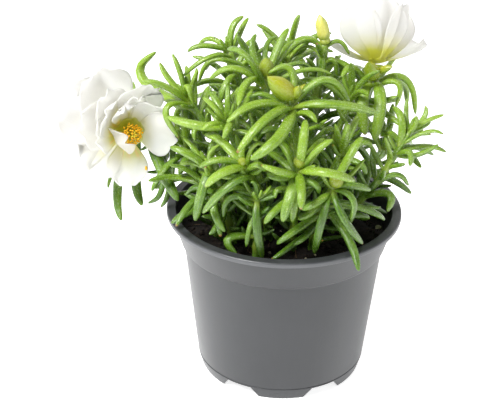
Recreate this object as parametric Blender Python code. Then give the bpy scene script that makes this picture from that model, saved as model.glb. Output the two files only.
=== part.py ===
"""A potted portulaca: leafy stems, two white flowers and buds, in soil, in a grey nursery pot.

Sizes and places are in millimetres until a mesh is made. The origin is on the pot's axis, at the
surface that the pot stands on, with +Z up and the viewer on the -Y side.
"""
import math
from dataclasses import dataclass, field

import bmesh
import bpy
import numpy as np
from mathutils import Matrix, Vector

MM = 0.001
GAP = 0.35                      # air between pieces that touch on the real thing
LEAF_CLEARANCE = 0.35           # air between a leaf and another piece
SOIL_CLEARANCE = 0.8            # air between a leaf and the soil

# Pot
POT_HEIGHT = 90.0
RIM_RADIUS = 60.0
RIM_INNER_RADIUS = 55.3
LIP_DEPTH = 2.6
COLLAR_RADIUS = 57.3
COLLAR_TAPER = 4.8
SHOULDER_Z = 71.3
SHOULDER_STEP = 1.4
WALL_FOOT_RADIUS = 44.0
WALL = 1.3
FLOOR_Z = 6.0
FOOT_RADIUS = 42.3
FOOT_WIDTH = 3.2
REST_FOOT_RADIUS = 6.0          # small support foot under the middle of the floor
NOTCHES = 6
NOTCH_BOTTOM_ANGLE = 30.0
NOTCH_TOP_ANGLE = 18.0
NOTCH_HEIGHT = 5.8
DRAIN_RADIUS = 3.6
DRAIN_CIRCLE = 30.0
POT_SEGMENTS = 32

# Soil
SOIL_TOP = 80.0
SOIL_RINGS = (18.0, 36.0)
STEM_DEPTH = 8.0                # how deep a stem stands in its hole
STEM_STRAIGHT = 3.0             # how far above the soil a stem stays upright

# Flowers
PETAL_COLUMNS = 3
PETAL_ROWS = 3
PETAL_THICKNESS = 0.7
CALYX_DEPTH = 5.0               # green cup between a flower and its stem

# Plant
STEM_SIDES = 5
STEM_PIECES = 5
LEAF_SIDES = 4
LEAF_RING_LENGTHS = (28.0, 38.0)    # a leaf has one more ring past each of these lengths
LEAF_THICKNESS = 0.8            # of the leaf's width
WHORL_SPACING = 0.9             # between the leaves of one crown, along the stem
WHORL_DEPTH = 1.6               # how far below the stem's end its first leaf roots
GOLDEN_ANGLE = math.radians(137.508)

# The view that the plant's places were read in: right of the pot's axis, up in the picture plane
# through VIEW_CENTRE, and depth (world Y, so minus is nearer).
VIEW_CENTRE = Vector((-17.4, 0.0, 92.8))
VIEW_DISTANCE = 700.0
VIEW_DROP = math.radians(27.32)
VIEW_UP = Vector((0.0, math.sin(VIEW_DROP), math.cos(VIEW_DROP)))
EYE = VIEW_CENTRE + VIEW_DISTANCE * Vector((0.0, -math.cos(VIEW_DROP), math.sin(VIEW_DROP)))


def seen(right: float, up: float, depth: float) -> Vector:
    """The point that is seen at right and up, and lies at world Y = depth."""
    on_plane = Vector((right, 0.0, VIEW_CENTRE.z)) + up * VIEW_UP
    share = (depth - on_plane.y) / (EYE.y - on_plane.y)
    return on_plane.lerp(EYE, share)


@dataclass
class Leaf:
    """A fleshy leaf, from its stem to its tip. at is its place on the stem, 1 being the crown."""

    tip: tuple
    width: float
    via: tuple | None = None
    at: float = 1.0


@dataclass
class Bud:
    """A closed bud from its foot to its tip, as seen places."""

    foot: tuple
    tip: tuple
    width: float


@dataclass
class Shoot:
    """A leafy stem: where it roots, the seen places that it passes, and what grows on it."""

    name: str
    root: tuple
    route: tuple
    leaves: tuple = ()
    buds: tuple = ()
    thick: float = 2.0
    extra_leaves: int = 0
    end_axis: Vector | None = None
    end_thick: float | None = None


@dataclass
class Petal:
    """A petal, by its angle round the flower's axis, its lift from the flat, length and width."""

    angle: float
    lift: float
    length: float
    width: float
    layer: float = 0.0
    belly: float = 0.08
    roll: float = 10.0


@dataclass
class Flower:
    """An open flower: its receptacle's foot, the way it faces, its petals and its stamens."""

    name: str
    foot: Vector
    axis: Vector
    petals: tuple
    stamens: int
    receptacle: float = 4.8
    height: float = 3.4
    frame: Matrix = field(init=False)

    def __post_init__(self):
        """Set up the flower's frame: X to the viewer's right, Z along the axis."""
        z = self.axis.normalized()
        x = (Vector((1.0, 0.0, 0.0)) - z * z.x).normalized()
        self.frame = Matrix((x, z.cross(x), z)).transposed()


VIEWER = (EYE - VIEW_CENTRE).normalized()
LEFT_AXIS = (0.42 * Vector((1.0, 0.0, 0.0)) - 0.22 * VIEW_UP + 0.88 * VIEWER).normalized()
RIGHT_AXIS = (0.03 * Vector((1.0, 0.0, 0.0)) + VIEW_UP - 0.06 * VIEWER).normalized()

LEFT_FLOWER = Flower("flower_left", seen(-81.0, 34.4, 6.0), LEFT_AXIS, (
    Petal(120, 5, 33, 32), Petal(152, 4, 39, 34), Petal(188, 3, 40, 30), Petal(217, 8, 26, 24),
    Petal(266, 14, 25, 21), Petal(74, 28, 26, 25), Petal(36, 42, 22.5, 23), Petal(358, 48, 24.5, 23),
    Petal(165, 22, 29, 24, 1), Petal(128, 26, 27, 22, 1), Petal(92, 38, 21, 17, 1),
    Petal(212, 96, 14, 15, 1, 0.42),
), 9)

RIGHT_FLOWER = Flower("flower_right", seen(46.0, 70.6, 24.0), RIGHT_AXIS, (
    Petal(152, 24, 27, 17, 0, 0.06), Petal(34, 28, 31, 18, 0, 0.05), Petal(226, 60, 31, 24, 0, 0.1),
    Petal(276, 68, 32, 27, 0, 0.14), Petal(322, 66, 31, 23, 0, 0.1), Petal(50, 63, 33, 25, 0, 0.1),
    Petal(95, 62, 33, 28, 0, 0.12), Petal(138, 57, 32, 26, 0, 0.08), Petal(250, 78, 28, 20, 1, 0.14),
    Petal(10, 74, 30, 20, 1, 0.12), Petal(125, 74, 28, 20, 1, 0.12),
), 8, 5.2, 3.6)

TOP_BUD = Bud((19.7, 82.0, 22), (16.6, 95.2, 22.6), 6.7)

SHOOTS = (
    Shoot("leafy_stem_front", (4, -27), ((6, 3, -36), (7.4, 17.7, -42)), (
        Leaf((10.3, 41.3, -36), 4.8, (9.3, 30, -45)), Leaf((24.5, 31.5, -43), 4.6, (16.5, 26, -48)),
        Leaf((36, 10.5, -46), 5.0, (22, 14.5, -53)), Leaf((8.7, -4.5, -64), 4.6, (8.6, 6, -57)),
        Leaf((-0.5, -11, -60), 5.4, (3.2, 3, -54)), Leaf((-12, 18, -53), 4.8, (-2.5, 14.8, -53)),
        Leaf((-4.5, 31, -30), 5.0, (2, 24.5, -36)), Leaf((6.2, 38.5, -27), 4.2, (6.4, 29, -35)),
        Leaf((20, 32, -29), 3.6, (14, 26, -37)), Leaf((4.4, -11, -53), 4.0, (5.8, 1, -50), 0.9),
        Leaf((-9, 14, -40), 4.0, (-3, 11.5, -43), 0.9), Leaf((-9.5, 25, -26), 4.0, (-3, 21.5, -33), 0.9),
        Leaf((18, 4, -44), 3.8, (15, 9, -46), 0.85), Leaf((-10, -12, -53), 4.2, (-4, -5, -50), 0.7),
        Leaf((-4.5, 1, -44), 3.0, (-2.5, 6, -43), 0.75))),
    Shoot("leafy_stem_front_left", (-8, -19), ((-13, 5, -28), (-21, 18.6, -40)), (
        Leaf((-43.5, 16.5, -43), 4.2, (-33, 20.3, -43)), Leaf((-40.5, 6.5, -49), 5.0, (-31.5, 13.8, -49)),
        Leaf((-41, 33, -22), 5.0, (-33, 30, -28)), Leaf((-20.7, 27, -36), 3.4, (-22, 23, -40)),
        Leaf((-10, 28.5, -40), 2.8, (-16.5, 27, -45)), Leaf((-9.3, 15, -46), 3.8, (-14, 18, -48)),
        Leaf((-41.5, -7, -44), 4.8, (-27, 8.2, -48), 0.8), Leaf((-30, 4, -36), 3.6, (-23, 6, -34), 0.6))),
    Shoot("leafy_stem_front_right", (14, -25), ((20, -2, -36), (25.4, 8.3, -42)), (
        Leaf((44, 6, -36), 4.6, (34, 8.3, -42)), Leaf((40.5, -21.5, -47), 4.6, (30.5, -8.5, -51)),
        Leaf((34, -11, -48), 3.6, (34.8, 1.5, -49)), Leaf((15.7, -27, -48), 4.4, (19.5, -9, -51)),
        Leaf((9, -4.5, -50), 4.0, (17, -0.5, -50)), Leaf((39.5, 33, -34), 4.8, (33, 23, -42)),
        Leaf((7, -9.5, -46), 4.0, (15, -5, -46), 0.85), Leaf((51.3, -9, -31), 4.4, (42, -4, -38), 0.8),
        Leaf((38, -35, -52), 4.6, (32.5, -18, -46), 0.7), Leaf((43, -9, -25), 4.0, (38, -7, -29), 0.55),
        Leaf((-3.5, -22.3, -52), 4.2, (4, -16.5, -49), 0.6), Leaf((5, -22.5, -49), 4.0, (11, -18, -45), 0.5),
        Leaf((-6, -30, -49), 3.6, (1, -25.5, -46), 0.4), Leaf((49.5, -2.5, -21), 2.8, (43, -3, -25), 0.7))),
    Shoot("leafy_stem_right", (25, -6), ((40, 2, -10), (50, 14, -11), (58, 27, -10), (64.5, 37.5, -8)), (
        Leaf((81, 45, -6), 2.8, (72, 41.5, -8)), Leaf((71.5, 49.5, 0), 3.0, (70.6, 43, -3)),
        Leaf((66.5, 44, -13), 2.8, (66.5, 40, -11)), Leaf((62, 53, 2), 2.6, (61.7, 45, -2)),
        Leaf((81, 35, -14), 2.6, (72, 36, -12), 0.94), Leaf((55.5, 49, -2), 4.0, (59.3, 41, -6), 0.93),
        Leaf((48.7, 33.3, 4), 3.2, (53.5, 35.5, 0), 0.88), Leaf((82.5, 26, -6), 3.4, (71, 28.8, -6), 0.82),
        Leaf((64, 18.5, -18), 3.8, (63.5, 25.5, -14), 0.8), Leaf((49.8, 30, 8), 2.8, (53, 28.5, 3), 0.72),
        Leaf((63.5, 8.5, -12), 3.6, (56, 14, -12), 0.52), Leaf((52.7, -5, -22), 4.6, (53.5, 4, -17), 0.45),
        Leaf((40.5, 21.5, 6), 3.4, (43, 16, 0), 0.4), Leaf((64.5, 29.5, 6), 2.8, (63, 31, 0), 0.88))),
    Shoot("leafy_stem_flower_right", (18, 4), ((30, 28, 10), (39, 46, 16), (44, 60, 20)), (
        Leaf((45.5, 31, -4), 5.6, (48.5, 51, 4), 0.98), Leaf((41, 34, 2), 5.4, (39.6, 52, 9), 0.97),
        Leaf((66.5, 45, 20), 4.4, (61, 63, 22), 0.98), Leaf((56.3, 48.5, 12), 3.6, (57, 61, 15), 0.96),
        Leaf((28, 63, 14), 4.4, (35, 68, 16), 0.96), Leaf((21.5, 73, 24), 4.0, (32, 73.5, 25), 0.97),
        Leaf((60, 79, 40), 2.8, (55, 73, 32), 0.98), Leaf((38, 62, 46), 4.0, (42, 68, 36), 0.95),
        Leaf((62, 50, 38), 4.2, (58, 62, 32), 0.93), Leaf((25, 52, 22), 3.6, (31, 53, 19), 0.75),
        Leaf((52, 44, 22), 3.8, (46, 52, 20), 0.75), Leaf((36, 36, 28), 3.6, (35, 40, 20), 0.55)),
        (Bud((44.7, 62.9, 19), (42.3, 71.5, 11), 7.6), Bud((47.0, 66.5, 19), (54.6, 69.4, 14), 3.8)),
        2.1, 0, RIGHT_AXIS, 3.6),
    Shoot("leafy_stem_bud_front", (3, -9), ((4, 18, -16), (4.5, 40, -19), (3.5, 51, -20)), (
        Leaf((-9, 64.5, -11), 4.4, (2.5, 67, -14)), Leaf((33, 50, -15), 4.6, (20, 62, -17)),
        Leaf((47.5, 45.5, -17), 5.4, (24, 49.5, -25)), Leaf((-24.5, 24, -49), 5.0, (-8.5, 42.5, -38)),
        Leaf((-17.5, 20.5, -53), 6.0, (-3, 32.5, -47)), Leaf((-30, 39.5, -39), 4.6, (-13, 49.5, -31)),
        Leaf((-19, 52, -20), 3.6, (-8, 53, -20), 0.95), Leaf((16, 40, -36), 3.8, (11, 45, -29), 0.9),
        Leaf((22, 34, -14), 4.0, (14, 38, -15), 0.75), Leaf((-12, 34, -24), 4.2, (-4, 36, -20), 0.7),
        Leaf((18, 18, -22), 3.6, (12, 21, -19), 0.5)),
        (Bud((4.2, 52.4, -20), (-9.8, 63.3, -24), 9.6), Bud((4.5, 52.5, -21), (7.0, 58.8, -24), 4.6),
         Bud((5.0, 52.5, -18), (10.2, 60.0, -17), 3.2))),
    Shoot("leafy_stem_bud_left", (-7, -1), ((-8, 30, -4), (-9.5, 50, -5), (-10.5, 63, -5)), (
        Leaf((-15.5, 84.8, 5), 3.6, (-17, 75.5, 0)), Leaf((1, 88, 7), 4.4, (-4.5, 77.5, 1)),
        Leaf((-25, 84, -2), 4.2, (-18.5, 74.5, -5)), Leaf((4, 82, 14), 3.4, (-2, 75, 7)),
        Leaf((-5, 83.5, 15), 3.0, (-10.5, 77, 8)), Leaf((-30, 76.5, -8), 4.2, (-20, 72, -8)),
        Leaf((-39, 61.5, -10), 4.2, (-25, 67, -10)), Leaf((-24, 47.4, -25), 4.2, (-19.5, 60, -16)),
        Leaf((13, 68, 6), 3.2, (3, 69.5, 2)), Leaf((23.5, 65, 2), 3.0, (8, 66.5, -1), 0.97),
        Leaf((10, 74.5, 14), 2.8, (3, 70, 9), 0.97), Leaf((-22, 42, 6), 4.0, (-16, 46, 2), 0.7),
        Leaf((4, 50, 8), 4.0, (-3, 49, 4), 0.7)),
        (Bud((-9.9, 63.2, -6.2), (-10.2, 73.0, -9.2), 7.4),)),
    Shoot("leafy_stem_bud_top", (8, 9), ((14, 40, 17), (18, 64, 21), (19.8, 81.7, 22)), (
        Leaf((-3, 72, 17), 4.6, (9, 83, 19), 0.97), Leaf((32, 74.5, 26), 2.8, (26.5, 81.5, 25), 0.98),
        Leaf((5, 76, 24), 2.4, (13, 78.5, 25), 0.92), Leaf((25.5, 62.5, 34), 3.6, (23.5, 71, 30), 0.92),
        Leaf((10, 66, 42), 3.6, (15, 75, 35), 0.94), Leaf((28, 56, 14), 3.6, (23, 62, 16), 0.75),
        Leaf((4, 58, 30), 3.8, (11, 61, 25), 0.7), Leaf((22, 44, 36), 3.8, (19, 48, 28), 0.6),
        Leaf((6, 38, 24), 3.6, (11, 40, 21), 0.5)), (), 2.0, 0, None, 2.6),
    Shoot("leafy_stem_upper_left", (-21, 0), ((-34, 28, 3), (-43, 42, 4), (-52, 53.5, 5)), (
        Leaf((-58, 74, 7), 3.4, (-53.5, 63, 3)), Leaf((-64.5, 69.5, 13), 3.6, (-59.5, 61, 9)),
        Leaf((-51, 68, 20), 3.2, (-50, 61, 13)), Leaf((-45, 66, 0), 3.2, (-47.5, 58.5, 1)),
        Leaf((-72.5, 59.5, 0), 4.4, (-62, 57.5, 1)), Leaf((-54, 31, -4), 3.4, (-60.5, 45.5, -1)),
        Leaf((-66.5, 75, 32), 5.6, (-73, 61, 29), 0.97), Leaf((-47, 49, -8), 3.2, (-50, 57.5, -3)),
        Leaf((-68, 50, 14), 3.4, (-60, 53, 12), 0.96), Leaf((-56, 38, 16), 3.8, (-53, 47, 13), 0.85),
        Leaf((-46, 30, -6), 3.6, (-45, 36, -2), 0.7), Leaf((-28, 46, 8), 3.8, (-34, 43, 8), 0.65),
        Leaf((-44, 22, 12), 3.8, (-40, 28, 9), 0.5))),
    Shoot("leafy_stem_left", (-16, -11), ((-22, 18, -19), (-27, 32, -23), (-30.5, 40.5, -25)), (
        Leaf((-42, 52, -23), 3.6, (-36, 47, -26)), Leaf((-38.5, 55, -12), 4.0, (-34, 48, -19)),
        Leaf((-29.5, 58.5, -17), 3.0, (-29.5, 49, -22)), Leaf((-60, 42, -20), 5.4, (-46, 38, -26)),
        Leaf((-42.3, 35.5, -35), 3.2, (-36, 39, -32)), Leaf((-31.5, 31, -38), 3.8, (-28.5, 38, -33)),
        Leaf((-24, 57.5, -10), 3.2, (-26, 49, -18)), Leaf((-17, 57, -8), 3.4, (-22, 47.5, -17)),
        Leaf((-14, 30, -28), 3.8, (-20, 34, -25), 0.9), Leaf((-38, 22, -12), 4.0, (-32, 27, -17), 0.75),
        Leaf((-10, 16, -24), 3.6, (-16, 19, -21), 0.55))),
    Shoot("leafy_stem_upper_left_back", (-9, 11), ((-16, 40, 15), (-24, 62, 18), (-29, 77.5, 19)), (
        Leaf((-50.5, 75.3, 15), 3.6, (-42, 78.5, 15)), Leaf((-45, 78.3, 28), 3.2, (-38, 82, 24)),
        Leaf((-22, 93.8, 25), 3.8, (-28, 87, 22)), Leaf((-19.5, 93, 33), 3.2, (-23.5, 86, 28)),
        Leaf((-53, 63, 4), 3.0, (-39, 73, 7)), Leaf((-44.5, 60, 20), 3.4, (-38, 71, 19), 0.97),
        Leaf((-41, 66, 34), 3.6, (-35, 74, 28), 0.96), Leaf((-18, 72, 40), 4.0, (-22, 77, 31), 0.95),
        Leaf((-34, 48, 6), 3.8, (-30, 60, 10), 0.85), Leaf((-12, 60, 34), 3.8, (-18, 62, 27), 0.8),
        Leaf((-36, 52, 30), 3.8, (-29, 57, 25), 0.75), Leaf((-4, 50, 16), 3.6, (-11, 49, 16), 0.65),
        Leaf((-30, 36, 24), 3.6, (-23, 40, 21), 0.5))),
    Shoot("leafy_stem_flower_left", (-24, -14), ((-36, 22, 10), (-54, 35, 21), (-70, 34, 20)), (
        Leaf((-83, -11.5, -2), 5.2, (-85, 6, 8), 0.97), Leaf((-72.5, -3.7, 0), 5.6, (-76, 11, 9), 0.92),
        Leaf((-54, -1, -14), 6.4, (-62.5, 14.5, -4), 0.85), Leaf((-90, 5, 10), 3.2, (-88, 15, 11), 0.99),
        Leaf((-69.5, -2.5, 2), 3.4, (-62, 8, 4), 0.8), Leaf((-63, -4.5, -6), 3.4, (-58.5, 8, -4), 0.72),
        Leaf((-78, 59.5, 24), 3.4, (-77, 47, 18), 0.97), Leaf((-96, 24, 26), 3.4, (-89, 27, 19), 0.99),
        Leaf((-71, 13.5, 3), 3.2, (-63, 18, 6), 0.86), Leaf((-69, 6.5, 1), 3.2, (-62, 13, 4), 0.8),
        Leaf((-60, 20, 18), 3.8, (-62, 27, 11), 0.85), Leaf((-46, 12, -4), 3.8, (-46, 20, -7), 0.6)),
        (), 1.9, 0, LEFT_AXIS, 3.8),
    Shoot("leafy_stem_low_left", (-26, -22), ((-33, 6, -24), (-39.5, 17.5, -25)), (
        Leaf((-58.5, 26.5, -24), 5.0, (-49, 23, -27)), Leaf((-45.3, -11, -34), 5.2, (-41.5, 6, -34)),
        Leaf((-54, 13.5, -14), 3.0, (-49, 18.5, -19)), Leaf((-33, 28, -33), 3.0, (-38, 23, -31)),
        Leaf((-52, 31, -14), 2.8, (-46.5, 26, -19)), Leaf((-30, -16.5, -43), 4.0, (-36, -4, -38), 0.75),
        Leaf((-38, -18, -37), 4.0, (-34, -14, -33), 0.5), Leaf((-50, 2, -18), 3.6, (-43, 6, -21), 0.6))),
    Shoot("leafy_stem_low_front", (-14, -36), ((-14, -6, -39), (-13.5, 1.5, -41)), (
        Leaf((-10.7, -30, -49), 4.6, (-13.8, -12, -47)), Leaf((-31, -9, -41), 3.6, (-27, 1, -40)),
        Leaf((-19, -24, -46), 2.8, (-17, -13, -43), 0.75),
        Leaf((-23.5, -28.5, -45), 4.8, (-28, -20, -41), 0.45), Leaf((-1, 4, -35), 3.4, (-7, 4.5, -36)),
        Leaf((-17.5, 9, -43), 2.8, (-14.5, 7, -42)))),
    Shoot("leafy_stem_inner_right", (17, -11), ((24, 14, -17), (30, 26, -20)), (
        Leaf((25.5, 39.5, -23), 3.0, (27.5, 33, -22)), Leaf((33, 39.5, -27), 3.4, (30.5, 33, -25)),
        Leaf((37.5, 43, -14), 3.0, (34, 36, -17)), Leaf((45, 27, -14), 4.0, (39, 30, -17)),
        Leaf((20, 30, -30), 3.6, (25, 30, -27)), Leaf((42, 14, -28), 4.0, (37, 20, -26)),
        Leaf((35, 4, -14), 3.8, (31, 10, -16), 0.7), Leaf((12, 10, -26), 3.6, (18, 14, -22), 0.7))),
)

# Stems of the back and the sides, by the angle, reach and height of their crowns
BACK_CROWNS = (
    (70, 47, 138, 32), (103, 52, 122, 33), (128, 44, 146, 30), (150, 55, 124, 36), (44, 54, 126, 36),
    (20, 57, 117, 38), (88, 30, 163, 17), (172, 52, 121, 37), (118, 22, 150, 22), (22, 36, 146, 27),
    (62, 38, 144, 27), (203, 42, 110, 37),
)
BACK_LEAVES = 10
BACK_WHORL = 6


def leaf_girth(s: float) -> float:
    """Share of the leaf's full width at s, from 0 at the stem to 1 at the tip."""
    swell = 0.5 + 0.5 * math.sin(min(s / 0.4, 1.0) * math.pi / 2.0)
    return swell * math.sqrt(max(1.0 - s ** 6, 0.0))


def bud_girth(s: float) -> float:
    """Share of the bud's full width at s, from 0 at its foot to 1 at its pointed tip."""
    widest = 0.36
    s = min(max(s, 0.0), 1.0)
    if s < widest:
        return math.sqrt(1.0 - ((widest - s) / widest) ** 2)
    return math.cos(0.5 * math.pi * ((s - widest) / (1.0 - widest)) ** 1.35) ** 1.1


def soil_height(x: float, y: float) -> float:
    """Height of the lumpy soil at a place."""
    lumps = 1.1 * math.sin(x / 7.3 + 1.0) * math.cos(y / 6.1 + 2.0) + 0.7 * math.sin((x + y) / 4.7)
    return SOIL_TOP + lumps - 0.0008 * (x * x + y * y)


class Curve:
    """A smooth curve through a few points, read by its share of the length."""

    def __init__(self, points: list, first: Vector | None = None, last: Vector | None = None):
        """Sample the curve; first and last set the directions at its ends."""
        ends = [points[0] * 2 - points[1] if first is None else points[1] - first,
                points[-1] * 2 - points[-2] if last is None else points[-2] + last]
        knots = [ends[0], *points, ends[1]]
        self.samples = [self.between(knots[i:i + 4], k / 12) for i in range(len(points) - 1)
                        for k in range(12)] + [points[-1].copy()]
        steps = [(b - a).length for a, b in zip(self.samples, self.samples[1:])]
        self.lengths = np.concatenate(([0.0], np.cumsum(steps)))
        self.length = float(self.lengths[-1])

    @staticmethod
    def between(k: list, t: float) -> Vector:
        """Catmull-Rom point between the two middle knots."""
        return 0.5 * (2 * k[1] + (k[2] - k[0]) * t + (2 * k[0] - 5 * k[1] + 4 * k[2] - k[3]) * t ** 2
                      + (3 * k[1] - k[0] - 3 * k[2] + k[3]) * t ** 3)

    def point(self, s: float) -> Vector:
        """The point at share s of the length."""
        wanted = min(max(s, 0.0), 1.0) * self.length
        i = min(int(np.searchsorted(self.lengths, wanted, side="right")) - 1, len(self.samples) - 2)
        step = self.lengths[i + 1] - self.lengths[i]
        return self.samples[i].lerp(self.samples[i + 1], (wanted - self.lengths[i]) / step)

    def direction(self, s: float) -> Vector:
        """The unit direction at share s of the length."""
        return (self.point(s + 0.02) - self.point(s - 0.02)).normalized()


def leaf_curve(start: Vector, via: Vector, tip: Vector) -> Curve:
    """The arched midline of a leaf."""
    control = 2 * via - 0.5 * (start + tip)
    points = [start.lerp(control, t).lerp(control.lerp(tip, t), t) for t in (0, 0.25, 0.5, 0.75, 1)]
    return Curve(points)


class Room:
    """Keeps what is placed as small spheres, and tells whether a new piece is clear of it."""

    def __init__(self):
        """Start with no spheres."""
        self.centres = np.zeros((0, 3))
        self.radii = np.zeros(0)
        self.owners = np.zeros(0, dtype=int)
        self.outer = np.zeros(0, dtype=bool)

    def add(self, centres: np.ndarray, radii: np.ndarray, owner: int, outer: np.ndarray) -> None:
        """Keep a piece's spheres; outer marks those away from its own node's stem."""
        self.centres = np.vstack((self.centres, centres))
        self.radii = np.concatenate((self.radii, radii))
        self.owners = np.concatenate((self.owners, np.full(len(radii), owner)))
        self.outer = np.concatenate((self.outer, outer))

    def near(self, centre: Vector, reach: float) -> "Room":
        """The part of the room within reach of a point."""
        part = Room()
        close = np.linalg.norm(self.centres - np.array(centre[:]), axis=1) < reach
        part.centres, part.radii = self.centres[close], self.radii[close]
        part.owners, part.outer = self.owners[close], self.outer[close]
        return part

    def clear(self, centres: np.ndarray, radii: np.ndarray, owner: int, outer: np.ndarray,
              own_too: bool) -> bool:
        """Whether the spheres are clear of the pot, the soil and everything placed."""
        if len(self.radii):
            apart = np.linalg.norm(centres[:, None, :] - self.centres[None, :, :], axis=2)
            room = apart - radii[:, None] - self.radii[None, :]
            others = self.owners != owner
            if others.any() and room[:, others].min() < LEAF_CLEARANCE:
                return False
            own = ~others & self.outer
            if own_too and own.any() and room[np.ix_(outer, own)].min() < 0.05:
                return False
        return clear_of_pot_and_soil(centres, radii)


def pot_profile() -> list:
    """Radius and height of the pot's section, from under the middle round to the floor's top."""
    collar_z = SHOULDER_Z + 0.6
    lip_z = POT_HEIGHT - LIP_DEPTH
    step_radius = COLLAR_RADIUS - COLLAR_TAPER
    foot_inside = FOOT_RADIUS - FOOT_WIDTH
    floor_edge = WALL_FOOT_RADIUS - WALL
    return [
        (0.0, 0.0), (REST_FOOT_RADIUS, 0.0), (REST_FOOT_RADIUS + 0.8, FLOOR_Z),
        (foot_inside - 0.8, FLOOR_Z), (foot_inside, 0.0), (FOOT_RADIUS, 0.0),
        (WALL_FOOT_RADIUS, FLOOR_Z), (step_radius - SHOULDER_STEP, SHOULDER_Z - 0.6),
        (step_radius, collar_z), (COLLAR_RADIUS, lip_z), (RIM_RADIUS, lip_z),
        (RIM_RADIUS, POT_HEIGHT - 0.7), (RIM_RADIUS - 0.7, POT_HEIGHT), (RIM_INNER_RADIUS, POT_HEIGHT),
        (RIM_INNER_RADIUS - 0.1, lip_z), (step_radius - WALL, collar_z + 0.4),
        (step_radius - SHOULDER_STEP - WALL, SHOULDER_Z - 1.0), (floor_edge - 0.2, FLOOR_Z + WALL + 1.2),
        (floor_edge - 1.6, FLOOR_Z + WALL), (0.0, FLOOR_Z + WALL),
    ]


POT_EDGES = [(np.array(a), np.array(b)) for a, b in zip(pot_profile()[3:], pot_profile()[4:])]


def clear_of_pot_and_soil(centres: np.ndarray, radii: np.ndarray) -> bool:
    """Whether spheres keep clear of the pot's wall and rim, and of the soil inside it."""
    if centres[:, 2].min() > POT_HEIGHT + 8.0:
        return True
    flat = np.column_stack((np.hypot(centres[:, 0], centres[:, 1]), centres[:, 2]))
    for a, b in POT_EDGES:
        along = np.clip(((flat - a) @ (b - a)) / ((b - a) @ (b - a)), 0.0, 1.0)
        distance = np.linalg.norm(flat - a - along[:, None] * (b - a), axis=1)
        if (distance - radii).min() < LEAF_CLEARANCE + 0.2:
            return False
    return not any(math.hypot(x, y) < RIM_INNER_RADIUS and z - radius < soil_height(x, y) + SOIL_CLEARANCE
                   for (x, y, z), radius in zip(centres, radii))


def spheres_along(curve: Curve, width: float, girth, count: int = 15) -> tuple:
    """Centres and radii of the spheres that stand for a piece along a curve."""
    shares = np.linspace(0.0, 1.0, count)
    centres = np.array([curve.point(s)[:] for s in shares])
    return centres, np.array([0.5 * width * girth(s) for s in shares])


def depth_ways() -> list:
    """How far to move a leaf's tip and middle towards the viewer, the least first."""
    ways = [(tip, 0.5 * tip + middle) for tip in range(-16, 17, 4) for middle in range(-8, 9, 4)]
    return sorted(ways, key=lambda way: (way[0] ** 2 + 2 * way[1] ** 2, way))


def bend_ways() -> list:
    """Swing, lift and length to try for a leaf, the gentlest first."""
    turns = [(a, b) for a in range(-28, 29, 7) for b in range(-28, 29, 7)]
    turns.sort(key=lambda t: (t[0] ** 2 + t[1] ** 2, t))
    return [(math.radians(a), math.radians(b), length) for length in (1.0, 0.86, 0.72) for a, b in turns]


DEPTH_WAYS = depth_ways()
BEND_WAYS = bend_ways()


def leaf_ways(start: Vector, via: Vector, tip: Vector):
    """The curves to try for a leaf: as it is seen, then nearer or farther, then bent aside."""
    for tip_step, via_step in DEPTH_WAYS:
        yield leaf_curve(start, via + VIEWER * via_step, tip + VIEWER * tip_step)
    along = (tip - start).normalized()
    side = along.cross(Vector((0.0, 0.0, 1.0))).normalized()
    over = side.cross(along)
    for swing, lift, length in BEND_WAYS:
        turn = Matrix.Rotation(swing, 3, over) @ Matrix.Rotation(lift, 3, side)
        yield leaf_curve(start, start + turn @ (via - start) * length, start + turn @ (tip - start) * length)


def place_leaf(room: Room, owner: int, start: Vector, via: Vector, tip: Vector, width: float):
    """The leaf's curve, clear of everything placed, or None where it finds no room."""
    near = room.near(start, 1.3 * (tip - start).length + 24.0)
    for own_too in (True, False):
        for curve in leaf_ways(start, via, tip):
            centres, radii = spheres_along(curve, width, leaf_girth)
            outer = np.arange(len(radii)) >= 5
            if near.clear(centres, radii, owner, outer, own_too):
                room.add(centres, radii, owner, outer)
                return curve
    return None


def flower_foot(name: str) -> Vector:
    """Where the flower on a named stem has its receptacle's foot."""
    return (LEFT_FLOWER if name.endswith("left") else RIGHT_FLOWER).foot


def back_shoot(number: int, angle: float, reach: float, height: float, root_reach: float) -> Shoot:
    """A stem of the back or the sides, leaning out from its root to its crown."""
    a = math.radians(angle)
    out = Vector((math.cos(a), math.sin(a), 0.0))
    crown = out * reach + Vector((0.0, 0.0, height))
    middle = out * (root_reach + 0.3 * (reach - root_reach)) + Vector((0.0, 0.0, 0.5 * (SOIL_TOP + height)))
    return Shoot(f"leafy_stem_back_{number}", tuple((out * root_reach)[:2]), (middle, crown),
                 extra_leaves=BACK_LEAVES)


def ruled_leaf(curve: Curve, number: int, turn: float) -> tuple:
    """Start, via, tip and width of a leaf that follows the rule of the back stems."""
    in_whorl = number < BACK_WHORL
    at = 1.0 if in_whorl else 0.92 - 0.11 * (number - BACK_WHORL)
    axis = curve.direction(at)
    spread = math.radians(28.0 + 8.0 * number if in_whorl else 74.0)
    length = 24.0 + 1.4 * number if in_whorl else 31.0 - 2.0 * (number - BACK_WHORL)
    side = axis.orthogonal().normalized()
    side.rotate(Matrix.Rotation(turn + number * GOLDEN_ANGLE, 3, axis))
    start = curve.point(at) - axis * (WHORL_DEPTH + WHORL_SPACING * number if in_whorl else 0.0)
    way = axis * math.cos(spread) + side * math.sin(spread)
    tip = start + way * length + Vector((0.0, 0.0, -0.12 * length * math.sin(spread)))
    via = start + way * 0.5 * length + Vector((0.0, 0.0, 0.08 * length))
    return start, via, tip, 3.4 + 0.12 * number


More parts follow.
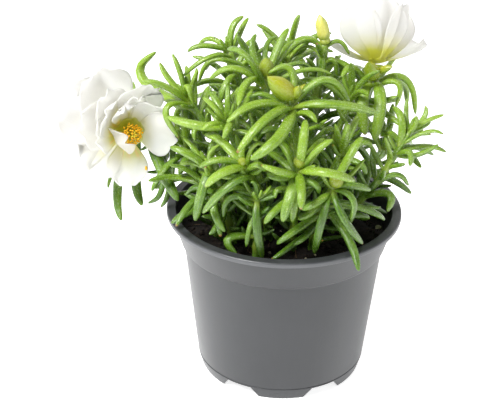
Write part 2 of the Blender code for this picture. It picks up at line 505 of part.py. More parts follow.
def place_stem(room: Room, owner: int, shoot: Shoot) -> Curve:
    """The stem's curve, its inner points moved aside where it would touch another stem."""
    shifts = [(dx, dy) for dx in (0, 2, -2, 4, -4, 6, -6) for dy in (0, 2, -2, 4, -4, 6, -6)]
    shifts.sort(key=lambda t: (t[0] ** 2 + t[1] ** 2, t))
    route = tuple(p if isinstance(p, Vector) else seen(*p) for p in shoot.route)
    for dx, dy in shifts:
        moved = [p + Vector((dx, dy, 0.0)) for p in route[:-1]] + [route[-1]]
        x, y = shoot.root
        points = [Vector((x, y, SOIL_TOP - STEM_DEPTH)),
                  Vector((x, y, SOIL_TOP + STEM_STRAIGHT)), *moved]
        last = None
        if shoot.end_axis is not None:
            points.append(flower_foot(shoot.name) - (GAP + CALYX_DEPTH) * shoot.end_axis)
            last = 16.0 * shoot.end_axis
        curve = Curve(points, Vector((0.0, 0.0, 12.0)), last)
        centres = np.array([curve.point(s)[:] for s in np.linspace(0.0, 1.0, 60)])
        radii = np.full(60, shoot.thick * 1.1)
        apart = np.linalg.norm(centres[:, None, :] - room.centres[None, :, :], axis=2)
        if not len(room.radii) or (apart - radii[:, None] - room.radii[None, :]).min() > LEAF_CLEARANCE:
            room.add(centres, radii, owner, np.zeros(60, dtype=bool))
            return curve
    raise ValueError(f"{shoot.name} crosses another stem")


def new_object(name: str, bm: bmesh.types.BMesh) -> bpy.types.Object:
    """An object in the scene from a mesh in millimetres."""
    bmesh.ops.scale(bm, vec=(MM, MM, MM), verts=bm.verts)
    bmesh.ops.recalc_face_normals(bm, faces=bm.faces)
    mesh = bpy.data.meshes.new(name)
    bm.to_mesh(mesh)
    bm.free()
    obj = bpy.data.objects.new(name, mesh)
    bpy.context.scene.collection.objects.link(obj)
    return obj


def spindle(name: str, curve: Curve, width: float, thickness: float, girth, sides: int,
            rings: int) -> bpy.types.Object:
    """A closed body stretched along a curve, pointed at both ends, from a sphere."""
    bm = bmesh.new()
    bmesh.ops.create_uvsphere(bm, u_segments=sides, v_segments=rings, radius=1.0)
    chord = (curve.point(1.0) - curve.point(0.0)).normalized()
    level = chord.cross(Vector((0.0, 0.0, 1.0)))
    level = level.normalized() if level.length > 0.1 else Vector((1.0, 0.0, 0.0))
    for vert in bm.verts:
        s = 0.5 + 0.5 * vert.co.z
        flat = Vector(vert.co.xy)
        flat = flat.normalized() if flat.length > 1e-6 else flat * 0.0
        along = curve.direction(s)
        face = level.cross(along).normalized()
        across = along.cross(face)
        wide = 0.5 * width * girth(s)
        vert.co = curve.point(s) + across * flat.x * wide + face * flat.y * wide * thickness
    return new_object(name, bm)


def stem_body(name: str, curve: Curve, shoot: Shoot) -> bpy.types.Object:
    """The stem, a tapering rod along its curve."""
    bm = bmesh.new()
    bmesh.ops.create_cone(bm, cap_ends=True, segments=STEM_SIDES, radius1=1.0, radius2=1.0, depth=1.0)
    upright = [e for e in bm.edges if abs(e.verts[0].co.z - e.verts[1].co.z) > 0.5]
    bmesh.ops.subdivide_edges(bm, edges=upright, cuts=STEM_PIECES - 1, use_grid_fill=True)
    upright_share = (STEM_DEPTH + STEM_STRAIGHT) / curve.length
    shares = [0.0, *np.linspace(upright_share, 1.0, STEM_PIECES)]
    across = Vector((1.0, 0.0, 0.0))
    rings = []
    for k, s in enumerate(shares):
        along = curve.direction(s) if k > 1 else Vector((0.0, 0.0, 1.0))
        across = (across - along * across.dot(along)).normalized()
        rings.append((curve.point(s), across.copy(), along.cross(across), shoot.thick * (1.1 - 0.28 * s)))
    for vert in bm.verts:
        centre, x_way, y_way, radius = rings[round((0.5 + vert.co.z) * STEM_PIECES)]
        vert.co = centre + (x_way * vert.co.x + y_way * vert.co.y) * radius
    return new_object(name, bm)


def fuse(body: bpy.types.Object, repeats: list) -> None:
    """Join the repeats to the body with one union, and keep the single body that comes out."""
    if repeats:
        group = bpy.data.collections.new("repeats")
        bpy.context.scene.collection.children.link(group)
        for repeat in repeats:
            group.objects.link(repeat)
        union = body.modifiers.new("fuse", "BOOLEAN")
        union.operation = "UNION"
        union.operand_type = "COLLECTION"
        union.collection = group
        union.solver = "MANIFOLD"
        graph = bpy.context.evaluated_depsgraph_get()
        joined = bpy.data.meshes.new_from_object(body.evaluated_get(graph))
        body.modifiers.clear()
        body.data = joined
        for repeat in repeats:
            bpy.data.objects.remove(repeat)
        bpy.data.collections.remove(group)
    keep_outer_body(body)


def keep_outer_body(obj: bpy.types.Object) -> None:
    """Drop loose scraps, and fill hollows that the union sealed."""
    bm = bmesh.new()
    bm.from_mesh(obj.data)
    left = set(bm.faces)
    islands = []
    while left:
        island, front = set(), [left.pop()]
        while front:
            face = front.pop()
            island.add(face)
            for edge in face.edges:
                for other in edge.link_faces:
                    if other in left:
                        left.remove(other)
                        front.append(other)
        islands.append(island)
    islands.sort(key=len)
    for island in islands[:-1]:
        bmesh.ops.delete(bm, geom=list(island), context="FACES")
    bm.to_mesh(obj.data)
    bm.free()


def cylinder(bm: bmesh.types.BMesh, radius: float, end_radius: float, low: Vector, high: Vector,
             sides: int) -> None:
    """Add a closed cylinder or cone between two points."""
    way = high - low
    place = Matrix.Translation(low.lerp(high, 0.5)) @ way.to_track_quat("Z", "Y").to_matrix().to_4x4()
    bmesh.ops.create_cone(bm, cap_ends=True, segments=sides, radius1=radius, radius2=end_radius,
                          depth=way.length, matrix=place)


def cylinder_object(name: str, radius: float, end_radius: float, low: Vector, high: Vector,
                    sides: int) -> bpy.types.Object:
    """An object that is one closed cylinder or cone."""
    bm = bmesh.new()
    cylinder(bm, radius, end_radius, low, high, sides)
    return new_object(name, bm)


def petal_girth(u: float) -> float:
    """Share of a petal's full width at u, from 0 at its foot to 1 at its blunt end."""
    widest = 0.62
    if u < widest:
        return 0.22 + 0.78 * math.sin(0.5 * math.pi * u / widest) ** 1.3
    return math.sqrt(1.0 - 0.72 * ((u - widest) / (1.0 - widest)) ** 2)


def petal_point(flower: Flower, petal: Petal, u: float, v: float) -> Vector:
    """A point of the petal's middle surface, u along it and v across it from -1 to 1."""
    angle, lift = math.radians(petal.angle), math.radians(petal.lift)
    out = Vector((math.cos(angle), math.sin(angle), 0.0))
    up = Vector((0.0, 0.0, 1.0))
    along = out * math.cos(lift) + up * math.sin(lift)
    face = up * math.cos(lift) - out * math.sin(lift)
    half = 0.5 * petal.width * petal_girth(u)
    reach = petal.length * u * (1.0 - 0.1 * v * v * u)
    belly = 4.0 * petal.belly * petal.length * u * (1.0 - u)
    wave = 1.1 * u * u * math.sin(5.0 * v + petal.angle)
    rise = 0.14 * half * v * v + wave + half * v * math.tan(math.radians(petal.roll)) - belly
    height = 0.8 + 0.6 * petal.layer + 0.5 * math.sin(petal.angle) ** 2
    foot = out * (3.2 - petal.layer * 0.2) + up * height
    local = foot + along * reach + up.cross(out) * half * v + face * rise
    return flower.foot + flower.frame @ local


def petal_body(flower: Flower, petal: Petal) -> bpy.types.Object:
    """A petal: a waved blade of even thickness."""
    bm = bmesh.new()
    bmesh.ops.create_grid(bm, x_segments=PETAL_COLUMNS, y_segments=PETAL_ROWS, size=1.0)
    bmesh.ops.triangulate(bm, faces=bm.faces, quad_method="FIXED")
    for vert in bm.verts:
        vert.co = petal_point(flower, petal, 0.5 + 0.5 * vert.co.y, vert.co.x)
    bm.normal_update()
    bmesh.ops.solidify(bm, geom=bm.faces, thickness=PETAL_THICKNESS)
    return new_object("petal", bm)


def petals_body(flower: Flower) -> bpy.types.Object:
    """All the petals of a flower, fused to the receptacle that they grow from."""
    axis = flower.axis.normalized()
    body = cylinder_object(flower.name + "_petals", flower.receptacle * 0.8, flower.receptacle,
                           flower.foot, flower.foot + axis * flower.height, 10)
    fuse(body, [petal_body(flower, petal) for petal in flower.petals])
    return body


def stamens_body(flower: Flower) -> bpy.types.Object:
    """The stamens of a flower on their disc, just above the receptacle."""
    axis = flower.axis.normalized()
    low = flower.foot + axis * (flower.height + GAP)
    body = cylinder_object(flower.name + "_stamens", 2.5, 2.3, low, low + axis * 1.0, 8)
    repeats = []
    for k in range(flower.stamens):
        share = math.sqrt((k + 0.5) / flower.stamens)
        turn, lean = k * GOLDEN_ANGLE, math.radians(6.0 + 30.0 * share)
        side = flower.frame @ Vector((math.cos(turn), math.sin(turn), 0.0))
        foot = low + axis * 0.4 + side * 1.7 * share
        head = foot + (axis * math.cos(lean) + side * math.sin(lean)) * (6.8 - 1.6 * share)
        repeats.append(cylinder_object("filament", 0.5, 0.35, foot, head, 3))
        anther = bmesh.new()
        bmesh.ops.create_uvsphere(anther, u_segments=4, v_segments=2, radius=1.0,
                                  matrix=Matrix.Translation(head))
        repeats.append(new_object("anther", anther))
    fuse(body, repeats)
    return body


def pot_body() -> bpy.types.Object:
    """The pot: one turned shell with notched feet and drain holes in its floor."""
    bm = bmesh.new()
    verts = [bm.verts.new((radius, 0.0, z)) for radius, z in pot_profile()]
    edges = [bm.edges.new(pair) for pair in zip(verts, verts[1:])]
    bmesh.ops.spin(bm, geom=verts + edges, cent=(0, 0, 0), axis=(0, 0, 1), dvec=(0, 0, 0),
                   angle=2.0 * math.pi, steps=POT_SEGMENTS, use_merge=True)
    bmesh.ops.remove_doubles(bm, verts=bm.verts, dist=0.001)
    pot = new_object("pot", bm)
    cutter = new_object("pot_cuts", pot_cuts())
    cutter.hide_render = True
    cutter.display_type = "WIRE"
    cut = pot.modifiers.new("notches_and_drains", "BOOLEAN")
    cut.operation = "DIFFERENCE"
    cut.object = cutter
    cutter.hide_set(True)
    return pot


def pot_cuts() -> bmesh.types.BMesh:
    """The notches between the feet, and the drain holes behind them."""
    bm = bmesh.new()
    for k in range(NOTCHES):
        turn = Matrix.Rotation(2.0 * math.pi * k / NOTCHES, 4, "Z")
        made = bmesh.ops.create_cube(bm, size=1.0)["verts"]
        for vert in made:
            top = vert.co.z > 0.0
            half_angle = 0.5 * math.radians(NOTCH_TOP_ANGLE if top else NOTCH_BOTTOM_ANGLE)
            radius = WALL_FOOT_RADIUS + 4.0 if vert.co.x > 0.0 else FOOT_RADIUS - FOOT_WIDTH - 3.0
            side = math.copysign(math.tan(half_angle) * FOOT_RADIUS, vert.co.y)
            vert.co = (radius, side, NOTCH_HEIGHT if top else -1.0)
        bmesh.ops.transform(bm, matrix=turn, verts=made)
        place = turn @ Matrix.Translation((DRAIN_CIRCLE, 0.0, FLOOR_Z + 0.5 * WALL))
        bmesh.ops.create_cone(bm, cap_ends=True, segments=8, radius1=DRAIN_RADIUS,
                              radius2=DRAIN_RADIUS, depth=4.0 * WALL, matrix=place)
    return bm


def soil_edge_radius(z: float) -> float:
    """Radius of the soil at the collar, a gap inside the pot's wall."""
    (low_r, low_z), (high_r, high_z) = pot_profile()[15], pot_profile()[14]
    return low_r + (z - low_z) / (high_z - low_z) * (high_r - low_r) - GAP - 0.1


def soil_profile() -> list:
    """Radius and height of the soil's side, a gap inside the pot's wall, from the floor up."""
    shoulder, step, foot = pot_profile()[15:18]
    floor = FLOOR_Z + WALL + GAP
    return [(0.0, floor), (foot[0] - GAP - 1.9, floor), (foot[0] - GAP - 0.1, foot[1] + 0.2),
            (step[0] - GAP - 0.1, step[1]), (soil_edge_radius(shoulder[1]), shoulder[1] + 0.4),
            (soil_edge_radius(SOIL_TOP), SOIL_TOP)]


def soil_body(roots: list) -> bpy.types.Object:
    """The potting soil: it fills the pot to its lumpy top, with a plain hole for each stem."""
    profile = soil_profile() + [(radius, SOIL_TOP) for radius in reversed(SOIL_RINGS)] + [(0.0, SOIL_TOP)]
    bm = bmesh.new()
    verts = [bm.verts.new((radius, 0.0, z)) for radius, z in profile]
    edges = [bm.edges.new(pair) for pair in zip(verts, verts[1:])]
    bmesh.ops.spin(bm, geom=verts + edges, cent=(0, 0, 0), axis=(0, 0, 1), dvec=(0, 0, 0),
                   angle=2.0 * math.pi, steps=POT_SEGMENTS, use_merge=True)
    bmesh.ops.remove_doubles(bm, verts=bm.verts, dist=0.001)
    for vert in bm.verts:
        if vert.co.z > SOIL_TOP - 0.01:
            vert.co.z = soil_height(vert.co.x, vert.co.y)
            reach = vert.co.xy.length
            if reach > max(SOIL_RINGS) + 1.0:
                vert.co.xy *= soil_edge_radius(vert.co.z) / reach
    bmesh.ops.triangulate(bm, faces=bm.faces, quad_method="FIXED")
    soil = new_object("potting_soil", bm)
    holes = bmesh.new()
    for (x, y), thick in roots:
        radius = (thick * 1.1 + GAP) / math.cos(math.pi / STEM_SIDES)
        cylinder(holes, radius, radius, Vector((x, y, SOIL_TOP - STEM_DEPTH - GAP)),
                 Vector((x, y, SOIL_TOP + 6.0)), STEM_SIDES)
    cutter = new_object("stem_holes", holes)
    cutter.hide_render = True
    cutter.display_type = "WIRE"
    cut = soil.modifiers.new("stem_holes", "BOOLEAN")
    cut.operation = "DIFFERENCE"
    cut.object = cutter
    return soil


def paint(obj: bpy.types.Object, colour: tuple, roughness: float) -> None:
    """Give the object a Principled material of its own."""
    material = bpy.data.materials.new(obj.name)
    material.use_nodes = True
    shader = material.node_tree.nodes["Principled BSDF"]
    shader.inputs["Base Color"].default_value = (*colour, 1.0)
    shader.inputs["Roughness"].default_value = roughness
    shader.inputs["Metallic"].default_value = 0.0
    obj.data.materials.clear()
    obj.data.materials.append(material)


def leafy_stem(room: Room, owner: int, shoot: Shoot, curve: Curve) -> bpy.types.Object:
    """A stem with its leaves and buds, fused into one body."""
    body = stem_body(shoot.name, curve, shoot)
    repeats = []
    for number, leaf in enumerate(shoot.leaves):
        start = curve.point(leaf.at)
        if leaf.at > 0.9:
            start -= curve.direction(leaf.at) * (WHORL_DEPTH + WHORL_SPACING * (number % 7))
        tip = seen(*leaf.tip)
        via = seen(*leaf.via)
        placed = place_leaf(room, owner, start, via, tip, leaf.width)
        if placed is not None:
            repeats.append(leaf_body(placed, leaf.width))
    for number in range(shoot.extra_leaves):
        start, via, tip, width = ruled_leaf(curve, number, 1.7 * owner)
        placed = place_leaf(room, owner, start, via, tip, width)
        if placed is not None:
            repeats.append(leaf_body(placed, width))
    for bud in shoot.buds:
        foot, tip = seen(*bud.foot), seen(*bud.tip)
        repeats.append(spindle("bud", Curve([foot, tip]), bud.width, 1.0, bud_girth, 8, 6))
    if shoot.end_axis is not None:
        top = flower_foot(shoot.name) - GAP * shoot.end_axis
        repeats.append(cylinder_object("calyx", shoot.thick * 0.8, shoot.end_thick,
                                       top - (CALYX_DEPTH + 1.0) * shoot.end_axis, top, 8))
    fuse(body, repeats)
    return body


def leaf_body(curve: Curve, width: float) -> bpy.types.Object:
    """The body of one leaf."""
    rings = 3 + sum(curve.length > length for length in LEAF_RING_LENGTHS)
    return spindle("leaf", curve, width, LEAF_THICKNESS, leaf_girth, LEAF_SIDES, rings)


def keep_room_for_flower(room: Room, owner: int, flower: Flower) -> None:
    """Keep the place of a flower's petals and stamens free."""
    centres = []
    for petal in flower.petals:
        rows, columns = round(petal.length / 2.0), round(petal.width / 2.0)
        centres += [petal_point(flower, petal, u, v)[:] for u in np.linspace(0.0, 1.0, rows)
                    for v in np.linspace(-1.0, 1.0, columns)]
    centres = np.array(centres)
    room.add(centres, np.full(len(centres), 1.7), owner, np.zeros(len(centres), dtype=bool))


def keep_room_for_buds(room: Room, owner: int, buds: tuple) -> None:
    """Keep the place of a stem's buds free."""
    for bud in buds:
        curve = Curve([seen(*bud.foot), seen(*bud.tip)])
        centres, radii = spheres_along(curve, bud.width, bud_girth, 9)
        room.add(centres, radii, owner, np.ones(9, dtype=bool))


def build() -> None:
    """Build the pot, the soil, the flowers and the leafy stems."""
    for obj in list(bpy.data.objects):
        bpy.data.objects.remove(obj)
    shoots = list(SHOOTS) + [back_shoot(k + 1, *crown) for k, crown in enumerate(BACK_CROWNS)]
    room = Room()
    curves = [place_stem(room, owner, shoot) for owner, shoot in enumerate(shoots)]
    for owner, flower in ((-1, LEFT_FLOWER), (-2, RIGHT_FLOWER)):
        keep_room_for_flower(room, owner, flower)
        paint(petals_body(flower), (0.9, 0.89, 0.85), 0.5)
        paint(stamens_body(flower), (0.85, 0.42, 0.02), 0.6)
    keep_room_for_buds(room, -3, (TOP_BUD,))
    for owner, shoot in enumerate(shoots):
        keep_room_for_buds(room, owner, shoot.buds)
    for owner, (shoot, curve) in enumerate(zip(shoots, curves)):
        paint(leafy_stem(room, owner, shoot, curve), (0.22, 0.4, 0.04), 0.4)
    bud_curve = Curve([seen(*TOP_BUD.foot), seen(*TOP_BUD.tip)])
    paint(spindle("flower_bud_top", bud_curve, TOP_BUD.width, 1.0, bud_girth, 8, 6), (0.8, 0.75, 0.2), 0.5)
    paint(pot_body(), (0.13, 0.135, 0.14), 0.4)
    paint(soil_body([(shoot.root, shoot.thick) for shoot in shoots]), (0.012, 0.009, 0.007), 0.9)


if __name__ == "__main__":
    build()
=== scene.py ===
"""Looks of a potted portulaca: fleshy stems, white flowers, buds, potting soil and a grey pot.

Sizes and places are in millimetres until a piece is finished. The origin is on the pot's axis, at
the surface that the pot stands on, with +Z up and the viewer of the photograph on the -Y side.
"""

import logging
import math
import random
from collections.abc import Callable, Iterator
from dataclasses import dataclass, field
from enum import Enum
from functools import lru_cache

import bmesh
import bpy
import numpy as np
from bmesh.types import BMesh, BMVert
from bpy.types import Material, Node, NodeSocket, Object
from mathutils import Matrix, Vector, noise


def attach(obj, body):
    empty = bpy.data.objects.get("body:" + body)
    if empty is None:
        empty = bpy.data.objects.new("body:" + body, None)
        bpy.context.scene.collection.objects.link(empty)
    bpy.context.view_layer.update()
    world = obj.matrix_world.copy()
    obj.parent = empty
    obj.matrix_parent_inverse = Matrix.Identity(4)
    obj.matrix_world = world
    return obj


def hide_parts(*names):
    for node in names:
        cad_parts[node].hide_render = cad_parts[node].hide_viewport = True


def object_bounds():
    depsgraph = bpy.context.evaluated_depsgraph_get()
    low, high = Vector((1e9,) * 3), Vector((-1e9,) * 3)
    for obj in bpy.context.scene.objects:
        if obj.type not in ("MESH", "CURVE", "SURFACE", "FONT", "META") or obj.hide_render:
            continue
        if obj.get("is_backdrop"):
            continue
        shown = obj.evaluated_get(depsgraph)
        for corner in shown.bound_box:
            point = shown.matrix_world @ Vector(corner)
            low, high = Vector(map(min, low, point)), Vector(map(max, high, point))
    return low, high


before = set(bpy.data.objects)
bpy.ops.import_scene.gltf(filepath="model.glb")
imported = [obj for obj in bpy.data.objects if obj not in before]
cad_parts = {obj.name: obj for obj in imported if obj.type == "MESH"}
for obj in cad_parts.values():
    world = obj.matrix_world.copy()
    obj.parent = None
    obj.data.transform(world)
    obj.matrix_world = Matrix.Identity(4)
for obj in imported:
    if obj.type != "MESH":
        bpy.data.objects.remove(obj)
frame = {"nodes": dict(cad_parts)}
cad_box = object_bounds()

log = logging.getLogger("portulaca")

MM = 0.001
BODY = "root"
GAP = 0.35                  # air between pieces that touch on the real thing
LEAF_CLEARANCE = 0.35       # air between a leaf and another piece
SOIL_CLEARANCE = 0.8        # air between a leaf and the soil
SOIL_TOP = 80.0
STEM_DEPTH = 8.0            # how deep a stem stands in the soil
STEM_STRAIGHT = 3.0         # how far above the soil a stem stays upright
STEM_PULL = 12.0            # how strongly a stem leaves the soil upright
FLOWER_PULL = 16.0          # how strongly a stem turns into its flower's axis
STEM_SPHERES = 60
LEAF_SPHERES = 15
SMALL_LEAF_SPHERES = 11
BUD_SPHERES = 9
PETAL_ROOM = 1.7            # radius that is kept free round a petal's points
CALYX_DEPTH = 5.0
WHORL_SPACING = 0.9         # between the leaves of one crown, along the stem
WHORL_DEPTH = 1.6           # how far below the stem's end its first leaf roots
WHORL_ROUND = 7             # leaves before the crown's spacing starts again
GOLDEN_ANGLE = math.radians(137.508)
FULL_TURN = 2.0 * math.pi
UP = Vector((0.0, 0.0, 1.0))
RIGHT = Vector((1.0, 0.0, 0.0))


@dataclass(frozen=True)
class View:
    """The photograph's view of the pot, in which the plant's places are read."""

    centre: Vector = Vector((-17.4, 0.0, 92.8))
    distance: float = 700.0
    drop: float = math.radians(27.32)
    roll: float = math.radians(0.82)
    lens: float = 98.73
    sensor: float = 36.0

    @property
    def up(self) -> Vector:
        """The way that is up in the picture."""
        return Vector((0.0, math.sin(self.drop), math.cos(self.drop)))

    @property
    def towards(self) -> Vector:
        """The way to the viewer."""
        return Vector((0.0, -math.cos(self.drop), math.sin(self.drop)))

    def seen(self, right: float, up: float, depth: float) -> Vector:
        """Find a point by where it is seen.

        Args:
            right: Millimetres to the right of the pot's axis in the picture plane.
            up: Millimetres up in the picture plane through the view's centre.
            depth: World Y of the point, so less is nearer.

        Returns:
            The point, in millimetres.
        """
        eye = self.centre + self.distance * self.towards
        on_plane = Vector((right, 0.0, self.centre.z)) + up * self.up
        return on_plane.lerp(eye, (depth - on_plane.y) / (eye.y - on_plane.y))

    def camera(self) -> None:
        """Make the camera of the photograph's view, and set it as the scene's own."""
        data = bpy.data.cameras.new("photo_view")
        data.lens, data.sensor_width = self.lens, self.sensor
        data.clip_start, data.clip_end = 0.02, 20.0
        camera = bpy.data.objects.new("photo_view", data)
        turn = (-self.towards).to_track_quat("-Z", "Y").to_matrix() @ Matrix.Rotation(self.roll, 3, "Z")
        place = (self.centre + self.distance * self.towards) * MM
        camera.matrix_world = Matrix.Translation(place) @ turn.to_4x4()
        bpy.context.scene.collection.objects.link(camera)
        bpy.context.scene.camera = camera


VIEW = View()
VIEWER = VIEW.towards
seen = VIEW.seen


@dataclass
class Leaf:
    """A fleshy leaf by its seen tip and middle. at is its place on the stem, 1 being the crown."""

    tip: tuple
    width: float
    via: tuple
    at: float = 1.0


@dataclass
class Bud:
    """A closed bud from its foot to its tip, as seen places."""

    foot: tuple
    tip: tuple
    width: float


@dataclass
class Shoot:
    """A leafy stem: where it roots, the seen places that it passes, and what grows on it.

    It is given a row of numbers for each leaf: the seen tip, the width and the seen middle, and
    for a leaf below the crown its place on the stem.
    """

    name: str
    root: tuple
    route: tuple
    leaves: tuple = ()
    buds: tuple = ()
    thick: float = 2.0
    extra_leaves: int = 0
    end_axis: Vector | None = None
    end_thick: float | None = None
    heart_bud: float = 0.0
    foot_swell: float = 1.1

    def __post_init__(self) -> None:
        """Complete the name, and read the rows of the leaves."""
        self.name = f"leafy_stem_{self.name}"
        self.leaves = tuple(Leaf(row[:3], row[3], row[4:7], *row[7:]) for row in self.leaves)


@dataclass
class Petal:
    """A petal, by its angle round the flower's axis, its lift from the flat, length and width."""

    angle: float
    lift: float
    length: float
    width: float
    layer: float = 0.0
    belly: float = 0.08
    roll: float = 10.0


@dataclass
class Flower:
    """An open flower: its receptacle's foot, the way it faces and its petals."""

    name: str
    foot: Vector
    axis: Vector
    petals: tuple
    receptacle: float = 4.8
    height: float = 3.4
    frame: Matrix = field(init=False)

    def __post_init__(self) -> None:
        """Set up the flower's frame: X to the viewer's right, Z along the axis."""
        z = self.axis.normalized()
        x = (RIGHT - z * z.x).normalized()
        self.frame = Matrix((x, z.cross(x), z)).transposed()


LEFT_AXIS = (0.42 * RIGHT - 0.22 * VIEW.up + 0.88 * VIEWER).normalized()
RIGHT_AXIS = (0.03 * RIGHT + VIEW.up - 0.06 * VIEWER).normalized()

LEFT_FLOWER = Flower("flower_left", seen(-81.0, 34.4, 6.0), LEFT_AXIS, (
    Petal(120, 5, 33, 32), Petal(152, 4, 39, 34), Petal(188, 3, 40, 30), Petal(217, 8, 26, 24),
    Petal(266, 14, 25, 21), Petal(74, 28, 26, 25), Petal(36, 42, 22.5, 23), Petal(358, 48, 24.5, 23),
    Petal(165, 22, 29, 24, 1), Petal(128, 26, 27, 22, 1), Petal(92, 38, 21, 17, 1),
    Petal(205, 80, 13, 17, 1, 0.36),
))

RIGHT_FLOWER = Flower("flower_right", seen(46.0, 70.6, 24.0), RIGHT_AXIS, (
    Petal(152, 24, 27, 17, 0, 0.06), Petal(34, 28, 31, 18, 0, 0.05), Petal(226, 60, 31, 24, 0, 0.1),
    Petal(276, 68, 32, 27, 0, 0.14), Petal(322, 66, 31, 23, 0, 0.1), Petal(50, 63, 33, 25, 0, 0.1),
    Petal(95, 62, 33, 28, 0, 0.12), Petal(138, 57, 32, 26, 0, 0.08), Petal(250, 78, 28, 20, 1, 0.14),
    Petal(10, 74, 30, 20, 1, 0.12), Petal(125, 74, 28, 20, 1, 0.12),
), 5.2, 3.6)

TOP_BUD = Bud((19.7, 82.0, 22), (16.6, 95.2, 22.6), 6.7)

